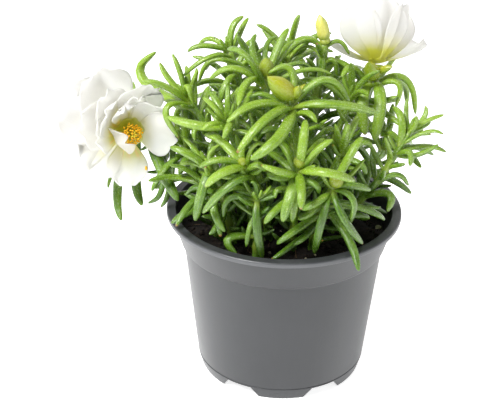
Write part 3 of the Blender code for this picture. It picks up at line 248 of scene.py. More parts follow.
SHOOTS = (
    Shoot("front", (4, -27), ((6, 3, -36), (7.4, 17.7, -42)), ((10.3, 41.3, -36, 4.8, 9.3, 30, -45),
        (24.5, 31.5, -43, 4.6, 16.5, 26, -48), (36, 10.5, -46, 5.0, 22, 14.5, -53),
        (8.7, -4.5, -64, 4.6, 8.6, 6, -57), (-0.5, -11, -60, 5.4, 3.2, 3, -54),
        (-12, 18, -53, 4.8, -2.5, 14.8, -53), (-4.5, 31, -30, 5.0, 2, 24.5, -36),
        (6.2, 38.5, -27, 4.2, 6.4, 29, -35), (20, 32, -29, 3.6, 14, 26, -37),
        (4.4, -11, -53, 4.0, 5.8, 1, -50, 0.9), (-9, 14, -40, 4.0, -3, 11.5, -43, 0.9),
        (-9.5, 25, -26, 4.0, -3, 21.5, -33, 0.9), (18, 4, -44, 3.8, 15, 9, -46, 0.85),
        (-10, -12, -53, 4.2, -4, -5, -50, 0.7), (-4.5, 1, -44, 3.0, -2.5, 6, -43, 0.75)), heart_bud=6.2),
    Shoot("front_left", (-8, -19), ((-13, 5, -28), (-21, 18.6, -40)),
        ((-43.5, 16.5, -43, 4.2, -33, 20.3, -43), (-40.5, 6.5, -49, 5.0, -31.5, 13.8, -49),
        (-41, 33, -22, 5.0, -33, 30, -28), (-20.7, 27, -36, 3.4, -22, 23, -40),
        (-10, 28.5, -40, 2.8, -16.5, 27, -45), (-9.3, 15, -46, 3.8, -14, 18, -48),
        (-41.5, -7, -44, 4.8, -27, 8.2, -48, 0.8), (-30, 4, -36, 3.6, -23, 6, -34, 0.6)), heart_bud=4.4),
    Shoot("front_right", (14, -25), ((20, -2, -36), (25.4, 8.3, -42)), ((44, 6, -36, 4.6, 34, 8.3, -42),
        (40.5, -21.5, -47, 4.6, 30.5, -8.5, -51), (34, -11, -48, 3.6, 34.8, 1.5, -49),
        (15.7, -27, -48, 4.4, 19.5, -9, -51), (9, -4.5, -50, 4.0, 17, -0.5, -50),
        (39.5, 33, -34, 4.8, 33, 23, -42), (7, -9.5, -46, 4.0, 15, -5, -46, 0.85),
        (51.3, -9, -31, 4.4, 42, -4, -38, 0.8), (38, -35, -52, 4.6, 32.5, -18, -46, 0.7),
        (43, -9, -25, 4.0, 38, -7, -29, 0.55), (-3.5, -22.3, -52, 4.2, 4, -16.5, -49, 0.6),
        (5, -22.5, -49, 4.0, 11, -18, -45, 0.5), (-6, -30, -49, 3.6, 1, -25.5, -46, 0.4),
        (49.5, -2.5, -21, 2.8, 43, -3, -25, 0.7)), heart_bud=7.0),
    Shoot("right", (25, -6), ((40, 2, -10), (50, 14, -11), (58, 27, -10), (64.5, 37.5, -8)),
        ((81, 45, -6, 2.8, 72, 41.5, -8), (71.5, 49.5, 0, 3.0, 70.6, 43, -3),
        (66.5, 44, -13, 2.8, 66.5, 40, -11), (62, 53, 2, 2.6, 61.7, 45, -2),
        (81, 35, -14, 2.6, 72, 36, -12, 0.94), (55.5, 49, -2, 4.0, 59.3, 41, -6, 0.93),
        (48.7, 33.3, 4, 3.2, 53.5, 35.5, 0, 0.88), (82.5, 26, -6, 3.4, 71, 28.8, -6, 0.82),
        (64, 18.5, -18, 3.8, 63.5, 25.5, -14, 0.8), (49.8, 30, 8, 2.8, 53, 28.5, 3, 0.72),
        (63.5, 8.5, -12, 3.6, 56, 14, -12, 0.52), (52.7, -5, -22, 4.6, 53.5, 4, -17, 0.45),
        (40.5, 21.5, 6, 3.4, 43, 16, 0, 0.4), (64.5, 29.5, 6, 2.8, 63, 31, 0, 0.88))),
    Shoot("flower_right", (18, 4), ((30, 28, 10), (39, 46, 16), (44, 60, 20)),
        ((45.5, 31, -4, 6.2, 48.5, 51, 4, 0.98), (41, 34, 2, 6.0, 39.6, 52, 9, 0.97),
        (66.5, 45, 20, 4.4, 61, 63, 22, 0.98), (56.3, 48.5, 12, 3.6, 57, 61, 15, 0.96),
        (28, 63, 14, 4.4, 35, 68, 16, 0.96), (21.5, 73, 24, 4.0, 32, 73.5, 25, 0.97),
        (60, 79, 40, 2.8, 55, 73, 32, 0.98), (38, 62, 46, 4.0, 42, 68, 36, 0.95),
        (62, 50, 38, 4.2, 58, 62, 32, 0.93), (25, 52, 22, 3.6, 31, 53, 19, 0.75),
        (52, 44, 22, 3.8, 46, 52, 20, 0.75), (36, 36, 28, 3.6, 35, 40, 20, 0.55)),
        (Bud((44.7, 62.9, 19), (42.3, 71.5, 11), 7.6), Bud((47.0, 66.5, 19), (54.6, 69.4, 14), 3.8)),
        2.1, 0, RIGHT_AXIS, 3.6),
    Shoot("bud_front", (3, -9), ((4, 18, -16), (4.5, 40, -19), (3.5, 51, -20)),
        ((-9, 64.5, -11, 4.4, 2.5, 67, -14), (33, 50, -15, 4.6, 20, 62, -17),
        (47.5, 45.5, -17, 5.4, 24, 49.5, -25), (-24.5, 24, -49, 5.0, -8.5, 42.5, -38),
        (-17.5, 20.5, -53, 6.0, -3, 32.5, -47), (-30, 39.5, -39, 4.6, -13, 49.5, -31),
        (-19, 52, -20, 3.6, -8, 53, -20, 0.95), (16, 40, -36, 3.8, 11, 45, -29, 0.9),
        (22, 34, -14, 4.0, 14, 38, -15, 0.75), (-12, 34, -24, 4.2, -4, 36, -20, 0.7),
        (18, 18, -22, 3.6, 12, 21, -19, 0.5)), (Bud((4.2, 52.4, -20), (-9.8, 63.3, -24), 9.6),
        Bud((4.5, 52.5, -21), (7.0, 58.8, -24), 4.6), Bud((5.0, 52.5, -18), (10.2, 60.0, -17), 3.2))),
    Shoot("bud_left", (-7, -1), ((-8, 30, -4), (-9.5, 50, -5), (-10.5, 63, -5)),
        ((-15.5, 84.8, 5, 3.6, -17, 75.5, 0), (1, 88, 7, 4.4, -4.5, 77.5, 1),
        (-25, 84, -2, 4.2, -18.5, 74.5, -5), (4, 82, 14, 3.4, -2, 75, 7),
        (-5, 83.5, 15, 3.0, -10.5, 77, 8), (-30, 76.5, -8, 4.2, -20, 72, -8),
        (-39, 61.5, -10, 4.2, -25, 67, -10), (-24, 47.4, -25, 4.2, -19.5, 60, -16),
        (13, 68, 6, 3.2, 3, 69.5, 2), (23.5, 65, 2, 3.0, 8, 66.5, -1, 0.97),
        (10, 74.5, 14, 2.8, 3, 70, 9, 0.97), (-22, 42, 6, 4.0, -16, 46, 2, 0.7),
        (4, 50, 8, 4.0, -3, 49, 4, 0.7)), (Bud((-9.9, 63.2, -6.2), (-10.2, 73.0, -9.2), 7.4),)),
    Shoot("bud_top", (8, 9), ((14, 40, 17), (18, 64, 21), (19.8, 81.7, 22)),
        ((-3, 72, 17, 4.6, 9, 83, 19, 0.97), (32, 74.5, 26, 2.8, 26.5, 81.5, 25, 0.98),
        (5, 76, 24, 2.4, 13, 78.5, 25, 0.92), (25.5, 62.5, 34, 3.6, 23.5, 71, 30, 0.92),
        (10, 66, 42, 3.6, 15, 75, 35, 0.94), (28, 56, 14, 3.6, 23, 62, 16, 0.75),
        (4, 58, 30, 3.8, 11, 61, 25, 0.7), (22, 44, 36, 3.8, 19, 48, 28, 0.6),
        (6, 38, 24, 3.6, 11, 40, 21, 0.5)), (), 2.0, 0, None, 2.6, foot_swell=1.3),
    Shoot("upper_left", (-21, 0), ((-34, 28, 3), (-43, 42, 4), (-52, 53.5, 5)),
        ((-58, 74, 7, 3.4, -53.5, 63, 3), (-64.5, 69.5, 13, 3.6, -59.5, 61, 9),
        (-51, 68, 20, 3.2, -50, 61, 13), (-45, 66, 0, 3.2, -47.5, 58.5, 1),
        (-72.5, 59.5, 0, 4.4, -62, 57.5, 1), (-54, 31, -4, 3.4, -60.5, 45.5, -1),
        (-66.5, 75, 32, 5.6, -73, 61, 29, 0.97), (-47, 49, -8, 3.2, -50, 57.5, -3),
        (-68, 50, 14, 3.4, -60, 53, 12, 0.96), (-56, 38, 16, 3.8, -53, 47, 13, 0.85),
        (-46, 30, -6, 3.6, -45, 36, -2, 0.7), (-28, 46, 8, 3.8, -34, 43, 8, 0.65),
        (-44, 22, 12, 3.8, -40, 28, 9, 0.5))),
    Shoot("left", (-16, -11), ((-22, 18, -19), (-27, 32, -23), (-30.5, 40.5, -25)),
        ((-42, 52, -23, 3.6, -36, 47, -26), (-38.5, 55, -12, 4.0, -34, 48, -19),
        (-29.5, 58.5, -17, 3.0, -29.5, 49, -22), (-60, 42, -20, 5.4, -46, 38, -26),
        (-42.3, 35.5, -35, 3.2, -36, 39, -32), (-31.5, 31, -38, 3.8, -28.5, 38, -33),
        (-24, 57.5, -10, 3.2, -26, 49, -18), (-17, 57, -8, 3.4, -22, 47.5, -17),
        (-14, 30, -28, 3.8, -20, 34, -25, 0.9), (-38, 22, -12, 4.0, -32, 27, -17, 0.75),
        (-10, 16, -24, 3.6, -16, 19, -21, 0.55))),
    Shoot("upper_left_back", (-9, 11), ((-16, 40, 15), (-24, 62, 18), (-29, 77.5, 19)),
        ((-50.5, 75.3, 15, 3.6, -42, 78.5, 15), (-45, 78.3, 28, 3.2, -38, 82, 24),
        (-22, 93.8, 25, 3.8, -28, 87, 22), (-19.5, 93, 33, 3.2, -23.5, 86, 28),
        (-53, 63, 4, 3.0, -39, 73, 7), (-44.5, 60, 20, 3.4, -38, 71, 19, 0.97),
        (-41, 66, 34, 3.6, -35, 74, 28, 0.96), (-18, 72, 40, 4.0, -22, 77, 31, 0.95),
        (-34, 48, 6, 3.8, -30, 60, 10, 0.85), (-12, 60, 34, 3.8, -18, 62, 27, 0.8),
        (-36, 52, 30, 3.8, -29, 57, 25, 0.75), (-4, 50, 16, 3.6, -11, 49, 16, 0.65),
        (-30, 36, 24, 3.6, -23, 40, 21, 0.5))),
    Shoot("flower_left", (-24, -14), ((-36, 22, 10), (-54, 35, 21), (-70, 34, 20)),
        ((-83, -11.5, -2, 5.2, -85, 6, 8, 0.97), (-72.5, -3.7, 0, 5.6, -76, 11, 9, 0.92),
        (-54, -1, -14, 6.4, -62.5, 14.5, -4, 0.85), (-90, 5, 10, 3.2, -88, 15, 11, 0.99),
        (-69.5, -2.5, 2, 3.4, -62, 8, 4, 0.8), (-63, -4.5, -6, 3.4, -58.5, 8, -4, 0.72),
        (-78, 59.5, 24, 3.4, -77, 47, 18, 0.97), (-96, 24, 26, 3.4, -89, 27, 19, 0.99),
        (-71, 13.5, 3, 3.2, -63, 18, 6, 0.86), (-69, 6.5, 1, 3.2, -62, 13, 4, 0.8),
        (-60, 20, 18, 3.8, -62, 27, 11, 0.85), (-46, 12, -4, 3.8, -46, 20, -7, 0.6)), (), 1.9, 0,
        LEFT_AXIS, 3.8),
    Shoot("low_left", (-26, -22), ((-33, 6, -24), (-39.5, 17.5, -25)),
        ((-58.5, 26.5, -24, 5.0, -49, 23, -27), (-45.3, -11, -34, 5.2, -41.5, 6, -34),
        (-54, 13.5, -14, 3.0, -49, 18.5, -19), (-33, 28, -33, 3.0, -38, 23, -31),
        (-52, 31, -14, 2.8, -46.5, 26, -19), (-30, -16.5, -43, 4.0, -36, -4, -38, 0.75),
        (-38, -18, -37, 4.0, -34, -14, -33, 0.5), (-50, 2, -18, 3.6, -43, 6, -21, 0.6))),
    Shoot("low_front", (-14, -36), ((-14, -6, -39), (-13.5, 1.5, -41)),
        ((-10.7, -30, -49, 4.6, -13.8, -12, -47), (-31, -9, -41, 3.6, -27, 1, -40),
        (-19, -24, -46, 2.8, -17, -13, -43, 0.75), (-23.5, -28.5, -45, 4.8, -28, -20, -41, 0.45),
        (-1, 4, -35, 3.4, -7, 4.5, -36), (-17.5, 9, -43, 2.8, -14.5, 7, -42))),
    Shoot("inner_right", (17, -11), ((24, 14, -17), (30, 26, -20)),
        ((25.5, 39.5, -23, 3.0, 27.5, 33, -22), (33, 39.5, -27, 3.4, 30.5, 33, -25),
        (37.5, 43, -14, 3.0, 34, 36, -17), (45, 27, -14, 4.0, 39, 30, -17),
        (20, 30, -30, 3.6, 25, 30, -27), (42, 14, -28, 4.0, 37, 20, -26),
        (35, 4, -14, 3.8, 31, 10, -16, 0.7), (12, 10, -26, 3.6, 18, 14, -22, 0.7))),
)

# Stems of the back and the sides, by the angle, reach and height of their crowns
BACK_CROWNS = (
    (70, 47, 138, 32), (103, 52, 122, 33), (128, 44, 146, 30), (150, 55, 124, 36), (44, 54, 126, 36),
    (20, 57, 117, 38), (88, 30, 163, 17), (172, 52, 121, 37), (118, 22, 150, 22), (22, 36, 146, 27),
    (62, 38, 144, 27), (203, 42, 110, 37),
)
BACK_LEAVES = 10
BACK_WHORL = 6


def leaf_girth(s: float) -> float:
    """Share of the leaf's full width at s, from 0 at the stem to 1 at the tip."""
    swell = 0.5 + 0.5 * math.sin(min(s / 0.4, 1.0) * math.pi / 2.0)
    return swell * math.sqrt(max(1.0 - s ** 6, 0.0))


def bud_girth(s: float) -> float:
    """Share of the bud's full width at s, from 0 at its foot to 1 at its pointed tip."""
    widest = 0.36
    s = min(max(s, 0.0), 1.0)
    if s < widest:
        return math.sqrt(1.0 - ((widest - s) / widest) ** 2)
    return math.cos(0.5 * math.pi * ((s - widest) / (1.0 - widest)) ** 1.35) ** 1.1


def soil_height(x: float, y: float) -> float:
    """Height of the lumpy soil at a place."""
    lumps = 1.1 * math.sin(x / 7.3 + 1.0) * math.cos(y / 6.1 + 2.0) + 0.7 * math.sin((x + y) / 4.7)
    return SOIL_TOP + lumps - 0.0008 * (x * x + y * y)


def petal_girth(u: float) -> float:
    """Share of a petal's full width at u, from 0 at its foot to 1 at its blunt end."""
    widest = 0.62
    if u < widest:
        return 0.22 + 0.78 * math.sin(0.5 * math.pi * u / widest) ** 1.3
    return math.sqrt(1.0 - 0.72 * ((u - widest) / (1.0 - widest)) ** 2)


def smooth(low: float, high: float, value: float) -> float:
    """Rise gently from 0 at low to 1 at high."""
    t = min(max((value - low) / (high - low), 0.0), 1.0)
    return t * t * (3.0 - 2.0 * t)


def round_ends(s: float, power: float = 0.5) -> float:
    """Share of the full width at s of a body with round ends."""
    return math.sin(math.pi * min(max(s, 0.0), 1.0)) ** power


def side_of(axis: Vector, turn: float) -> Vector:
    """Find the direction square to an axis, turned round it by some radians."""
    side = axis.orthogonal().normalized()
    side.rotate(Matrix.Rotation(turn, 3, axis))
    return side


def leaning(axis: Vector, side: Vector, lean: float) -> Vector:
    """Find the direction that leans from an axis to a side by some radians."""
    return axis * math.cos(lean) + side * math.sin(lean)


def outwards(turn: float) -> Vector:
    """Find the level direction at some radians round the vertical."""
    return Vector((math.cos(turn), math.sin(turn), 0.0))


class Curve:
    """A smooth curve through a few points, read by its share of the length."""

    def __init__(self, points: list[Vector], first: Vector | None = None,
                 last: Vector | None = None) -> None:
        """Sample the curve.

        Args:
            points: The points that it passes, in millimetres.
            first: The direction and pull at its start.
            last: The direction and pull at its end.
        """
        ends = [points[0] * 2 - points[1] if first is None else points[1] - first,
                points[-1] * 2 - points[-2] if last is None else points[-2] + last]
        knots = [ends[0], *points, ends[1]]
        self.samples = [self.between(knots[i:i + 4], k / 12) for i in range(len(points) - 1)
                        for k in range(12)] + [points[-1].copy()]
        steps = [(b - a).length for a, b in zip(self.samples, self.samples[1:])]
        self.lengths = np.concatenate(([0.0], np.cumsum(steps)))
        self.length = float(self.lengths[-1])

    @staticmethod
    def between(k: list[Vector], t: float) -> Vector:
        """Find a point between the two middle ones of four knots."""
        return 0.5 * (2 * k[1] + (k[2] - k[0]) * t + (2 * k[0] - 5 * k[1] + 4 * k[2] - k[3]) * t ** 2
                      + (3 * k[1] - k[0] - 3 * k[2] + k[3]) * t ** 3)

    def point(self, s: float) -> Vector:
        """Find the point at share s of the length."""
        wanted = min(max(s, 0.0), 1.0) * self.length
        i = min(int(np.searchsorted(self.lengths, wanted, side="right")) - 1, len(self.samples) - 2)
        step = self.lengths[i + 1] - self.lengths[i]
        return self.samples[i].lerp(self.samples[i + 1], (wanted - self.lengths[i]) / step)

    def direction(self, s: float) -> Vector:
        """Find the unit direction at share s of the length."""
        return (self.point(s + 0.02) - self.point(s - 0.02)).normalized()


def leaf_curve(start: Vector, via: Vector, tip: Vector) -> Curve:
    """Make the arched midline of a leaf through a middle point."""
    control = 2 * via - 0.5 * (start + tip)
    points = [start.lerp(control, t).lerp(control.lerp(tip, t), t) for t in (0, 0.25, 0.5, 0.75, 1)]
    return Curve(points)


def spheres_along(curve: Curve, width: float, girth: Callable[[float], float],
                  count: int) -> tuple[np.ndarray, np.ndarray]:
    """Stand spheres for a piece along a curve.

    Args:
        curve: The piece's midline.
        width: Its full width.
        girth: Share of the full width along it.
        count: How many spheres to use.

    Returns:
        The spheres' centres and radii.
    """
    shares = np.linspace(0.0, 1.0, count)
    centres = np.array([curve.point(s)[:] for s in shares])
    return centres, np.array([0.5 * width * girth(s) for s in shares])


class Room:
    """Keeps what is placed as small spheres, and tells whether a new piece is clear of it."""

    def __init__(self, walls: list[tuple[np.ndarray, np.ndarray]]) -> None:
        """Start empty.

        Args:
            walls: Edges of the pot's section, each from one radius and height to the next.
        """
        self.walls = walls
        self.centres = np.zeros((0, 3))
        self.radii = np.zeros(0)
        self.owners = np.zeros(0, dtype=int)
        self.outer = np.zeros(0, dtype=bool)

    def add(self, centres: np.ndarray, radii: np.ndarray, owner: int,
            outer: np.ndarray | bool) -> None:
        """Keep a piece's spheres.

        Args:
            centres: The spheres' centres.
            radii: Their radii.
            owner: Number of the stem that they belong to.
            outer: Marks those that stand away from that stem.
        """
        self.centres = np.vstack((self.centres, centres))
        self.radii = np.concatenate((self.radii, radii))
        self.owners = np.concatenate((self.owners, np.full(len(radii), owner)))
        self.outer = np.concatenate((self.outer, np.full(len(radii), outer)))

    def near(self, centre: Vector, reach: float) -> "Room":
        """Take the part of the room within reach of a point."""
        part = Room(self.walls)
        close = np.linalg.norm(self.centres - np.array(centre[:]), axis=1) < reach
        part.centres, part.radii = self.centres[close], self.radii[close]
        part.owners, part.outer = self.owners[close], self.outer[close]
        return part

    def clear(self, centres: np.ndarray, radii: np.ndarray, owner: int, outer: np.ndarray,
              own_too: bool) -> bool:
        """Tell whether spheres are clear of the pot, the soil and everything placed.

        Args:
            centres: The spheres' centres.
            radii: Their radii.
            owner: Number of the stem that they would belong to.
            outer: Marks those that stand away from that stem.
            own_too: Whether they must also clear that stem's own leaves.

        Returns:
            True where they are clear.
        """
        if len(self.radii):
            squares = (centres ** 2).sum(1)[:, None] + (self.centres ** 2).sum(1)[None, :]
            apart = np.sqrt(np.maximum(squares - 2.0 * centres @ self.centres.T, 0.0))
            room = apart - radii[:, None] - self.radii[None, :]
            others = self.owners != owner
            if others.any() and room[:, others].min() < LEAF_CLEARANCE:
                return False
            own = ~others & self.outer
            if own_too and own.any() and room[np.ix_(outer, own)].min() < 0.05:
                return False
        return self.clear_of_pot_and_soil(centres, radii)

    def clear_of_pot_and_soil(self, centres: np.ndarray, radii: np.ndarray) -> bool:
        """Tell whether spheres keep clear of the pot's wall and rim, and of the soil inside it."""
        if centres[:, 2].min() > POT.height + 8.0:
            return True
        flat = np.column_stack((np.hypot(centres[:, 0], centres[:, 1]), centres[:, 2]))
        for a, b in self.walls:
            along = np.clip(((flat - a) @ (b - a)) / ((b - a) @ (b - a)), 0.0, 1.0)
            distance = np.linalg.norm(flat - a - along[:, None] * (b - a), axis=1)
            if (distance - radii).min() < LEAF_CLEARANCE + 0.2:
                return False
        return not any(
            math.hypot(x, y) < POT.rim_inner_radius and z - radius < soil_height(x, y) + SOIL_CLEARANCE
            for (x, y, z), radius in zip(centres, radii))


@dataclass
class Grown:
    """A leaf in its place: its midline, its width and how it is coloured."""

    curve: Curve
    width: float
    # painted light and shade of its colour: darker low down and inside the bush
    light: float
    small: bool = False


@dataclass(frozen=True)
class SmallLeaves:
    """How the small leaves lie along a stem: ends as shares of it, angles in degrees."""

    first: float = 0.12
    last: float = 0.97
    last_by_buds: float = 0.86
    spacing: float = 2.4
    turn: float = 0.9
    turn_by_stem: float = 2.3
    spread: tuple[float, float] = (42.0, 76.0)
    length: tuple[float, float] = (12.0, 22.0)
    width: tuple[float, float] = (2.3, 3.3)
    rise: tuple[float, float] = (-0.05, 0.3)
    cuts: tuple[float, ...] = (1.0, 0.8, 0.62)


class Growth:
    """Places the stems and their leaves, clear of each other, the flowers, the pot and the soil."""

    def __init__(self, seed: int = 11) -> None:
        """Set up the stems, the room and the ways to try.

        Args:
            seed: Seed of the leaves' own colours.
        """
        self.chance = random.Random(seed)
        self.shoots = [*SHOOTS, *(self.back_shoot(k + 1, *c) for k, c in enumerate(BACK_CROWNS))]
        profile = POT.main_points()
        self.room = Room([(np.array(a), np.array(b)) for a, b in zip(profile[3:], profile[4:])])
        ways = [(tip, 0.5 * tip + middle) for tip in range(-16, 17, 4) for middle in range(-8, 9, 4)]
        self.depth_ways = sorted(ways, key=lambda way: (way[0] ** 2 + 2 * way[1] ** 2, way))
        turns = self.nearest_first(range(-28, 29, 7))
        self.bend_ways = [(math.radians(a), math.radians(b), length)
                          for length in (1.0, 0.86, 0.72) for a, b in turns]

    @staticmethod
    def nearest_first(steps: range) -> list[tuple[int, int]]:
        """Pair all the steps, the pairs nearest to none at all first."""
        pairs = [(a, b) for a in steps for b in steps]
        return sorted(pairs, key=lambda pair: (pair[0] ** 2 + pair[1] ** 2, pair))

    @staticmethod
    def back_shoot(number: int, angle: float, reach: float, height: float,
                   root_reach: float) -> Shoot:
        """Describe a stem of the back or the sides, leaning out from its root to its crown.

        Args:
            number: Its number, which names it.
            angle: Degrees round the pot from the viewer's right.
            reach: Distance of its crown from the pot's axis.
            height: Height of its crown.
            root_reach: Distance of its root from the pot's axis.

        Returns:
            The stem's description.
        """
        out = outwards(math.radians(angle))
        crown = out * reach + Vector((0.0, 0.0, height))
        middle = (out * (root_reach + 0.3 * (reach - root_reach))
                  + Vector((0.0, 0.0, 0.5 * (SOIL_TOP + height))))
        return Shoot(f"back_{number}", tuple((out * root_reach)[:2]), (middle, crown),
                     extra_leaves=BACK_LEAVES)

    def place_stem(self, owner: int, shoot: Shoot) -> Curve:
        """Find the stem's curve, its inner points moved aside where it would touch another stem.

        Args:
            owner: The stem's number.
            shoot: Its description.

        Returns:
            Its midline.
        """
        route = [p if isinstance(p, Vector) else seen(*p) for p in shoot.route]
        x, y = shoot.root
        foot = [Vector((x, y, SOIL_TOP - STEM_DEPTH)), Vector((x, y, SOIL_TOP + STEM_STRAIGHT))]
        for dx, dy in self.nearest_first(range(-6, 7, 2)):
            points = foot + [p + Vector((dx, dy, 0.0)) for p in route[:-1]] + [route[-1]]
            last = None
            if shoot.end_axis is not None:
                points.append(flower_foot(shoot.name) - (GAP + CALYX_DEPTH) * shoot.end_axis)
                last = FLOWER_PULL * shoot.end_axis
            curve = Curve(points, STEM_PULL * UP, last)
            centres, radii = spheres_along(curve, 2.2 * shoot.thick, lambda s: 1.0, STEM_SPHERES)
            apart = np.linalg.norm(centres[:, None, :] - self.room.centres[None, :, :], axis=2)
            taken = apart - radii[:, None] - self.room.radii[None, :]
            if not len(self.room.radii) or taken.min() > LEAF_CLEARANCE:
                self.room.add(centres, radii, owner, False)
                return curve
        raise ValueError(f"{shoot.name} crosses another stem")

    def leaf_ways(self, start: Vector, via: Vector, tip: Vector) -> Iterator[Curve]:
        """Give the curves to try for a leaf: as it is seen, nearer or farther, then bent aside.

        Args:
            start: Where it leaves its stem.
            via: Its middle.
            tip: Its tip.

        Yields:
            Midlines, the gentlest change first.
        """
        for tip_step, via_step in self.depth_ways:
            yield leaf_curve(start, via + VIEWER * via_step, tip + VIEWER * tip_step)
        along = (tip - start).normalized()
        side = along.cross(UP).normalized()
        over = side.cross(along)
        for swing, lift, length in self.bend_ways:
            turn = Matrix.Rotation(swing, 3, over) @ Matrix.Rotation(lift, 3, side)
            yield leaf_curve(start, start + turn @ (via - start) * length,
                             start + turn @ (tip - start) * length)

    def place_leaf(self, owner: int, start: Vector, via: Vector, tip: Vector,
                   width: float) -> Curve | None:
        """Find a leaf's curve, clear of everything placed.

        Args:
            owner: Number of its stem.
            start: Where it leaves its stem.
            via: Its middle.
            tip: Its tip.
            width: Its full width.

        Returns:
            Its midline, or None where it finds no room.
        """
        near = self.room.near(start, 1.3 * (tip - start).length + 24.0)
        for own_too in (True, False):
            for curve in self.leaf_ways(start, via, tip):
                if self.settle(near, curve, width, owner, own_too, LEAF_SPHERES, 5):
                    return curve
        return None

    def settle(self, near: Room, curve: Curve, width: float, owner: int, own_too: bool,
               spheres: int, joined: int) -> bool:
        """Keep a leaf where it is clear of what is near it.

        Args:
            near: The part of the room round it.
            curve: Its midline.
            width: Its full width.
            owner: Number of its stem.
            own_too: Whether it must also clear that stem's own leaves.
            spheres: How many spheres stand for it.
            joined: How many of them lie close to the stem.

        Returns:
            True where it was kept.
        """
        centres, radii = spheres_along(curve, width, leaf_girth, spheres)
        outer = np.arange(spheres) >= joined
        kept = near.clear(centres, radii, owner, outer, own_too)
        if kept:
            self.room.add(centres, radii, owner, outer)
        return kept

    def ruled_leaf(self, curve: Curve, number: int,
                   turn: float) -> tuple[Vector, Vector, Vector, float]:
        """Lay out a leaf by the rule of the back stems.

        Args:
            curve: The stem's midline.
            number: The leaf's number on its stem.
            turn: Where the stem's spiral of leaves starts.

        Returns:
            The leaf's start, middle, tip and width.
        """
        in_whorl = number < BACK_WHORL
        at = 1.0 if in_whorl else 0.92 - 0.11 * (number - BACK_WHORL)
        axis = curve.direction(at)
        spread = math.radians(28.0 + 8.0 * number if in_whorl else 74.0)
        length = 24.0 + 1.4 * number if in_whorl else 31.0 - 2.0 * (number - BACK_WHORL)
        start = curve.point(at) - axis * (WHORL_DEPTH + WHORL_SPACING * number if in_whorl else 0.0)
        way = leaning(axis, side_of(axis, turn + number * GOLDEN_ANGLE), spread)
        tip = start + way * length + Vector((0.0, 0.0, -0.12 * length * math.sin(spread)))
        via = start + way * 0.5 * length + Vector((0.0, 0.0, 0.08 * length))
        return start, via, tip, 3.4 + 0.12 * number

    def keep_room_for_flower(self, owner: int, flower: Flower) -> None:
        """Keep the place of a flower's petals free.

        Args:
            owner: Number that stands for the flower.
            flower: The flower.
        """
        centres = []
        for petal in flower.petals:
            rows, columns = round(petal.length / 2.0), round(petal.width / 2.0)
            centres += [petal_point(flower, petal, u, v)[:] for u in np.linspace(0.0, 1.0, rows)
                        for v in np.linspace(-1.0, 1.0, columns)]
        self.room.add(np.array(centres), np.full(len(centres), PETAL_ROOM), owner, False)

    def keep_room_for_buds(self, owner: int, buds: tuple[Bud, ...]) -> None:
        """Keep the place of a stem's buds free.

        Args:
            owner: The stem's number.
            buds: Its buds.
        """
        for bud in buds:
            curve = Curve([seen(*bud.foot), seen(*bud.tip)])
            self.room.add(*spheres_along(curve, bud.width, bud_girth, BUD_SPHERES), owner, True)

    def grow(self) -> list["LeafyStem"]:
        """Place every stem, then every leaf, then the small leaves between them.

        Returns:
            The stems with their leaves.
        """
        curves = [self.place_stem(owner, shoot) for owner, shoot in enumerate(self.shoots)]
        for owner, flower in ((-1, LEFT_FLOWER), (-2, RIGHT_FLOWER)):
            self.keep_room_for_flower(owner, flower)
        self.keep_room_for_buds(-3, (TOP_BUD,))
        for owner, shoot in enumerate(self.shoots):
            self.keep_room_for_buds(owner, shoot.buds)
        stems = [LeafyStem(shoot, curve) for shoot, curve in zip(self.shoots, curves)]
        for add in (self.add_leaves, self.add_small_leaves):
            for owner, stem in enumerate(stems):
                add(owner, stem)
        return stems

    def add_leaves(self, owner: int, stem: "LeafyStem") -> None:
        """Give a stem its main leaves.

        Args:
            owner: The stem's number.
            stem: The stem.
        """
        wanted = []
        for number, leaf in enumerate(stem.shoot.leaves):
            start = stem.curve.point(leaf.at)
            if leaf.at > 0.9:
                step = WHORL_DEPTH + WHORL_SPACING * (number % WHORL_ROUND)
                start -= stem.curve.direction(leaf.at) * step
            wanted.append((start, seen(*leaf.via), seen(*leaf.tip), leaf.width))
        for number in range(stem.shoot.extra_leaves):
            wanted.append(self.ruled_leaf(stem.curve, number, 1.7 * owner))
        for start, via, tip, width in wanted:
            placed = self.place_leaf(owner, start, via, tip, width)
            if placed is not None:
                stem.leaves.append(Grown(placed, width, self.painted_light_at(placed)))

    def painted_light_at(self, curve: Curve) -> float:
        """How yellow and bright a leaf is: painted shade low down and in the middle of the bush, painted
        light high up and outside it, with a random share that is the leaf's own tone.
        """
        middle = curve.point(0.6)
        high = smooth(88.0, 150.0, middle.z)
        out = smooth(18.0, 55.0, middle.xy.length)
        return 0.16 + 0.58 * high + 0.2 * out + self.chance.uniform(-0.14, 0.14)

    def add_small_leaves(self, owner: int, stem: "LeafyStem") -> None:
        """Fill a stem's gaps with small leaves, where there is room for them.

        Args:
            owner: The stem's number.
            stem: The stem.
        """
        plan = SmallLeaves()
        first = STEM_STRAIGHT / stem.curve.length + plan.first
        count = int((plan.last - first) * stem.curve.length / plan.spacing)
        for number in range(count):
            at = first + (plan.last - first) * (number + 0.5) / count
            if stem.shoot.buds and at > plan.last_by_buds:
                break
            axis = stem.curve.direction(at)
            side = side_of(axis, plan.turn + plan.turn_by_stem * owner + number * GOLDEN_ANGLE)
            way = leaning(axis, side, math.radians(self.chance.uniform(*plan.spread)))
            length, width = self.chance.uniform(*plan.length), self.chance.uniform(*plan.width)
            start = stem.curve.point(at)
            via = start + way * 0.5 * length
            tip = start + way * length + UP * length * self.chance.uniform(*plan.rise)
            near = self.room.near(start, length + 10.0)
            for share in plan.cuts:
                curve = leaf_curve(start, start.lerp(via, share), start.lerp(tip, share))
                if self.settle(near, curve, width, owner, True, SMALL_LEAF_SPHERES, 3):
                    # A small leaf gets a little more painted shade than a large one.
                    stem.leaves.append(Grown(curve, width, self.painted_light_at(curve) - 0.02, True))
                    break


def flower_foot(name: str) -> Vector:
    """Find where the flower on a named stem has its receptacle's foot."""
    return (LEFT_FLOWER if name.endswith("left") else RIGHT_FLOWER).foot


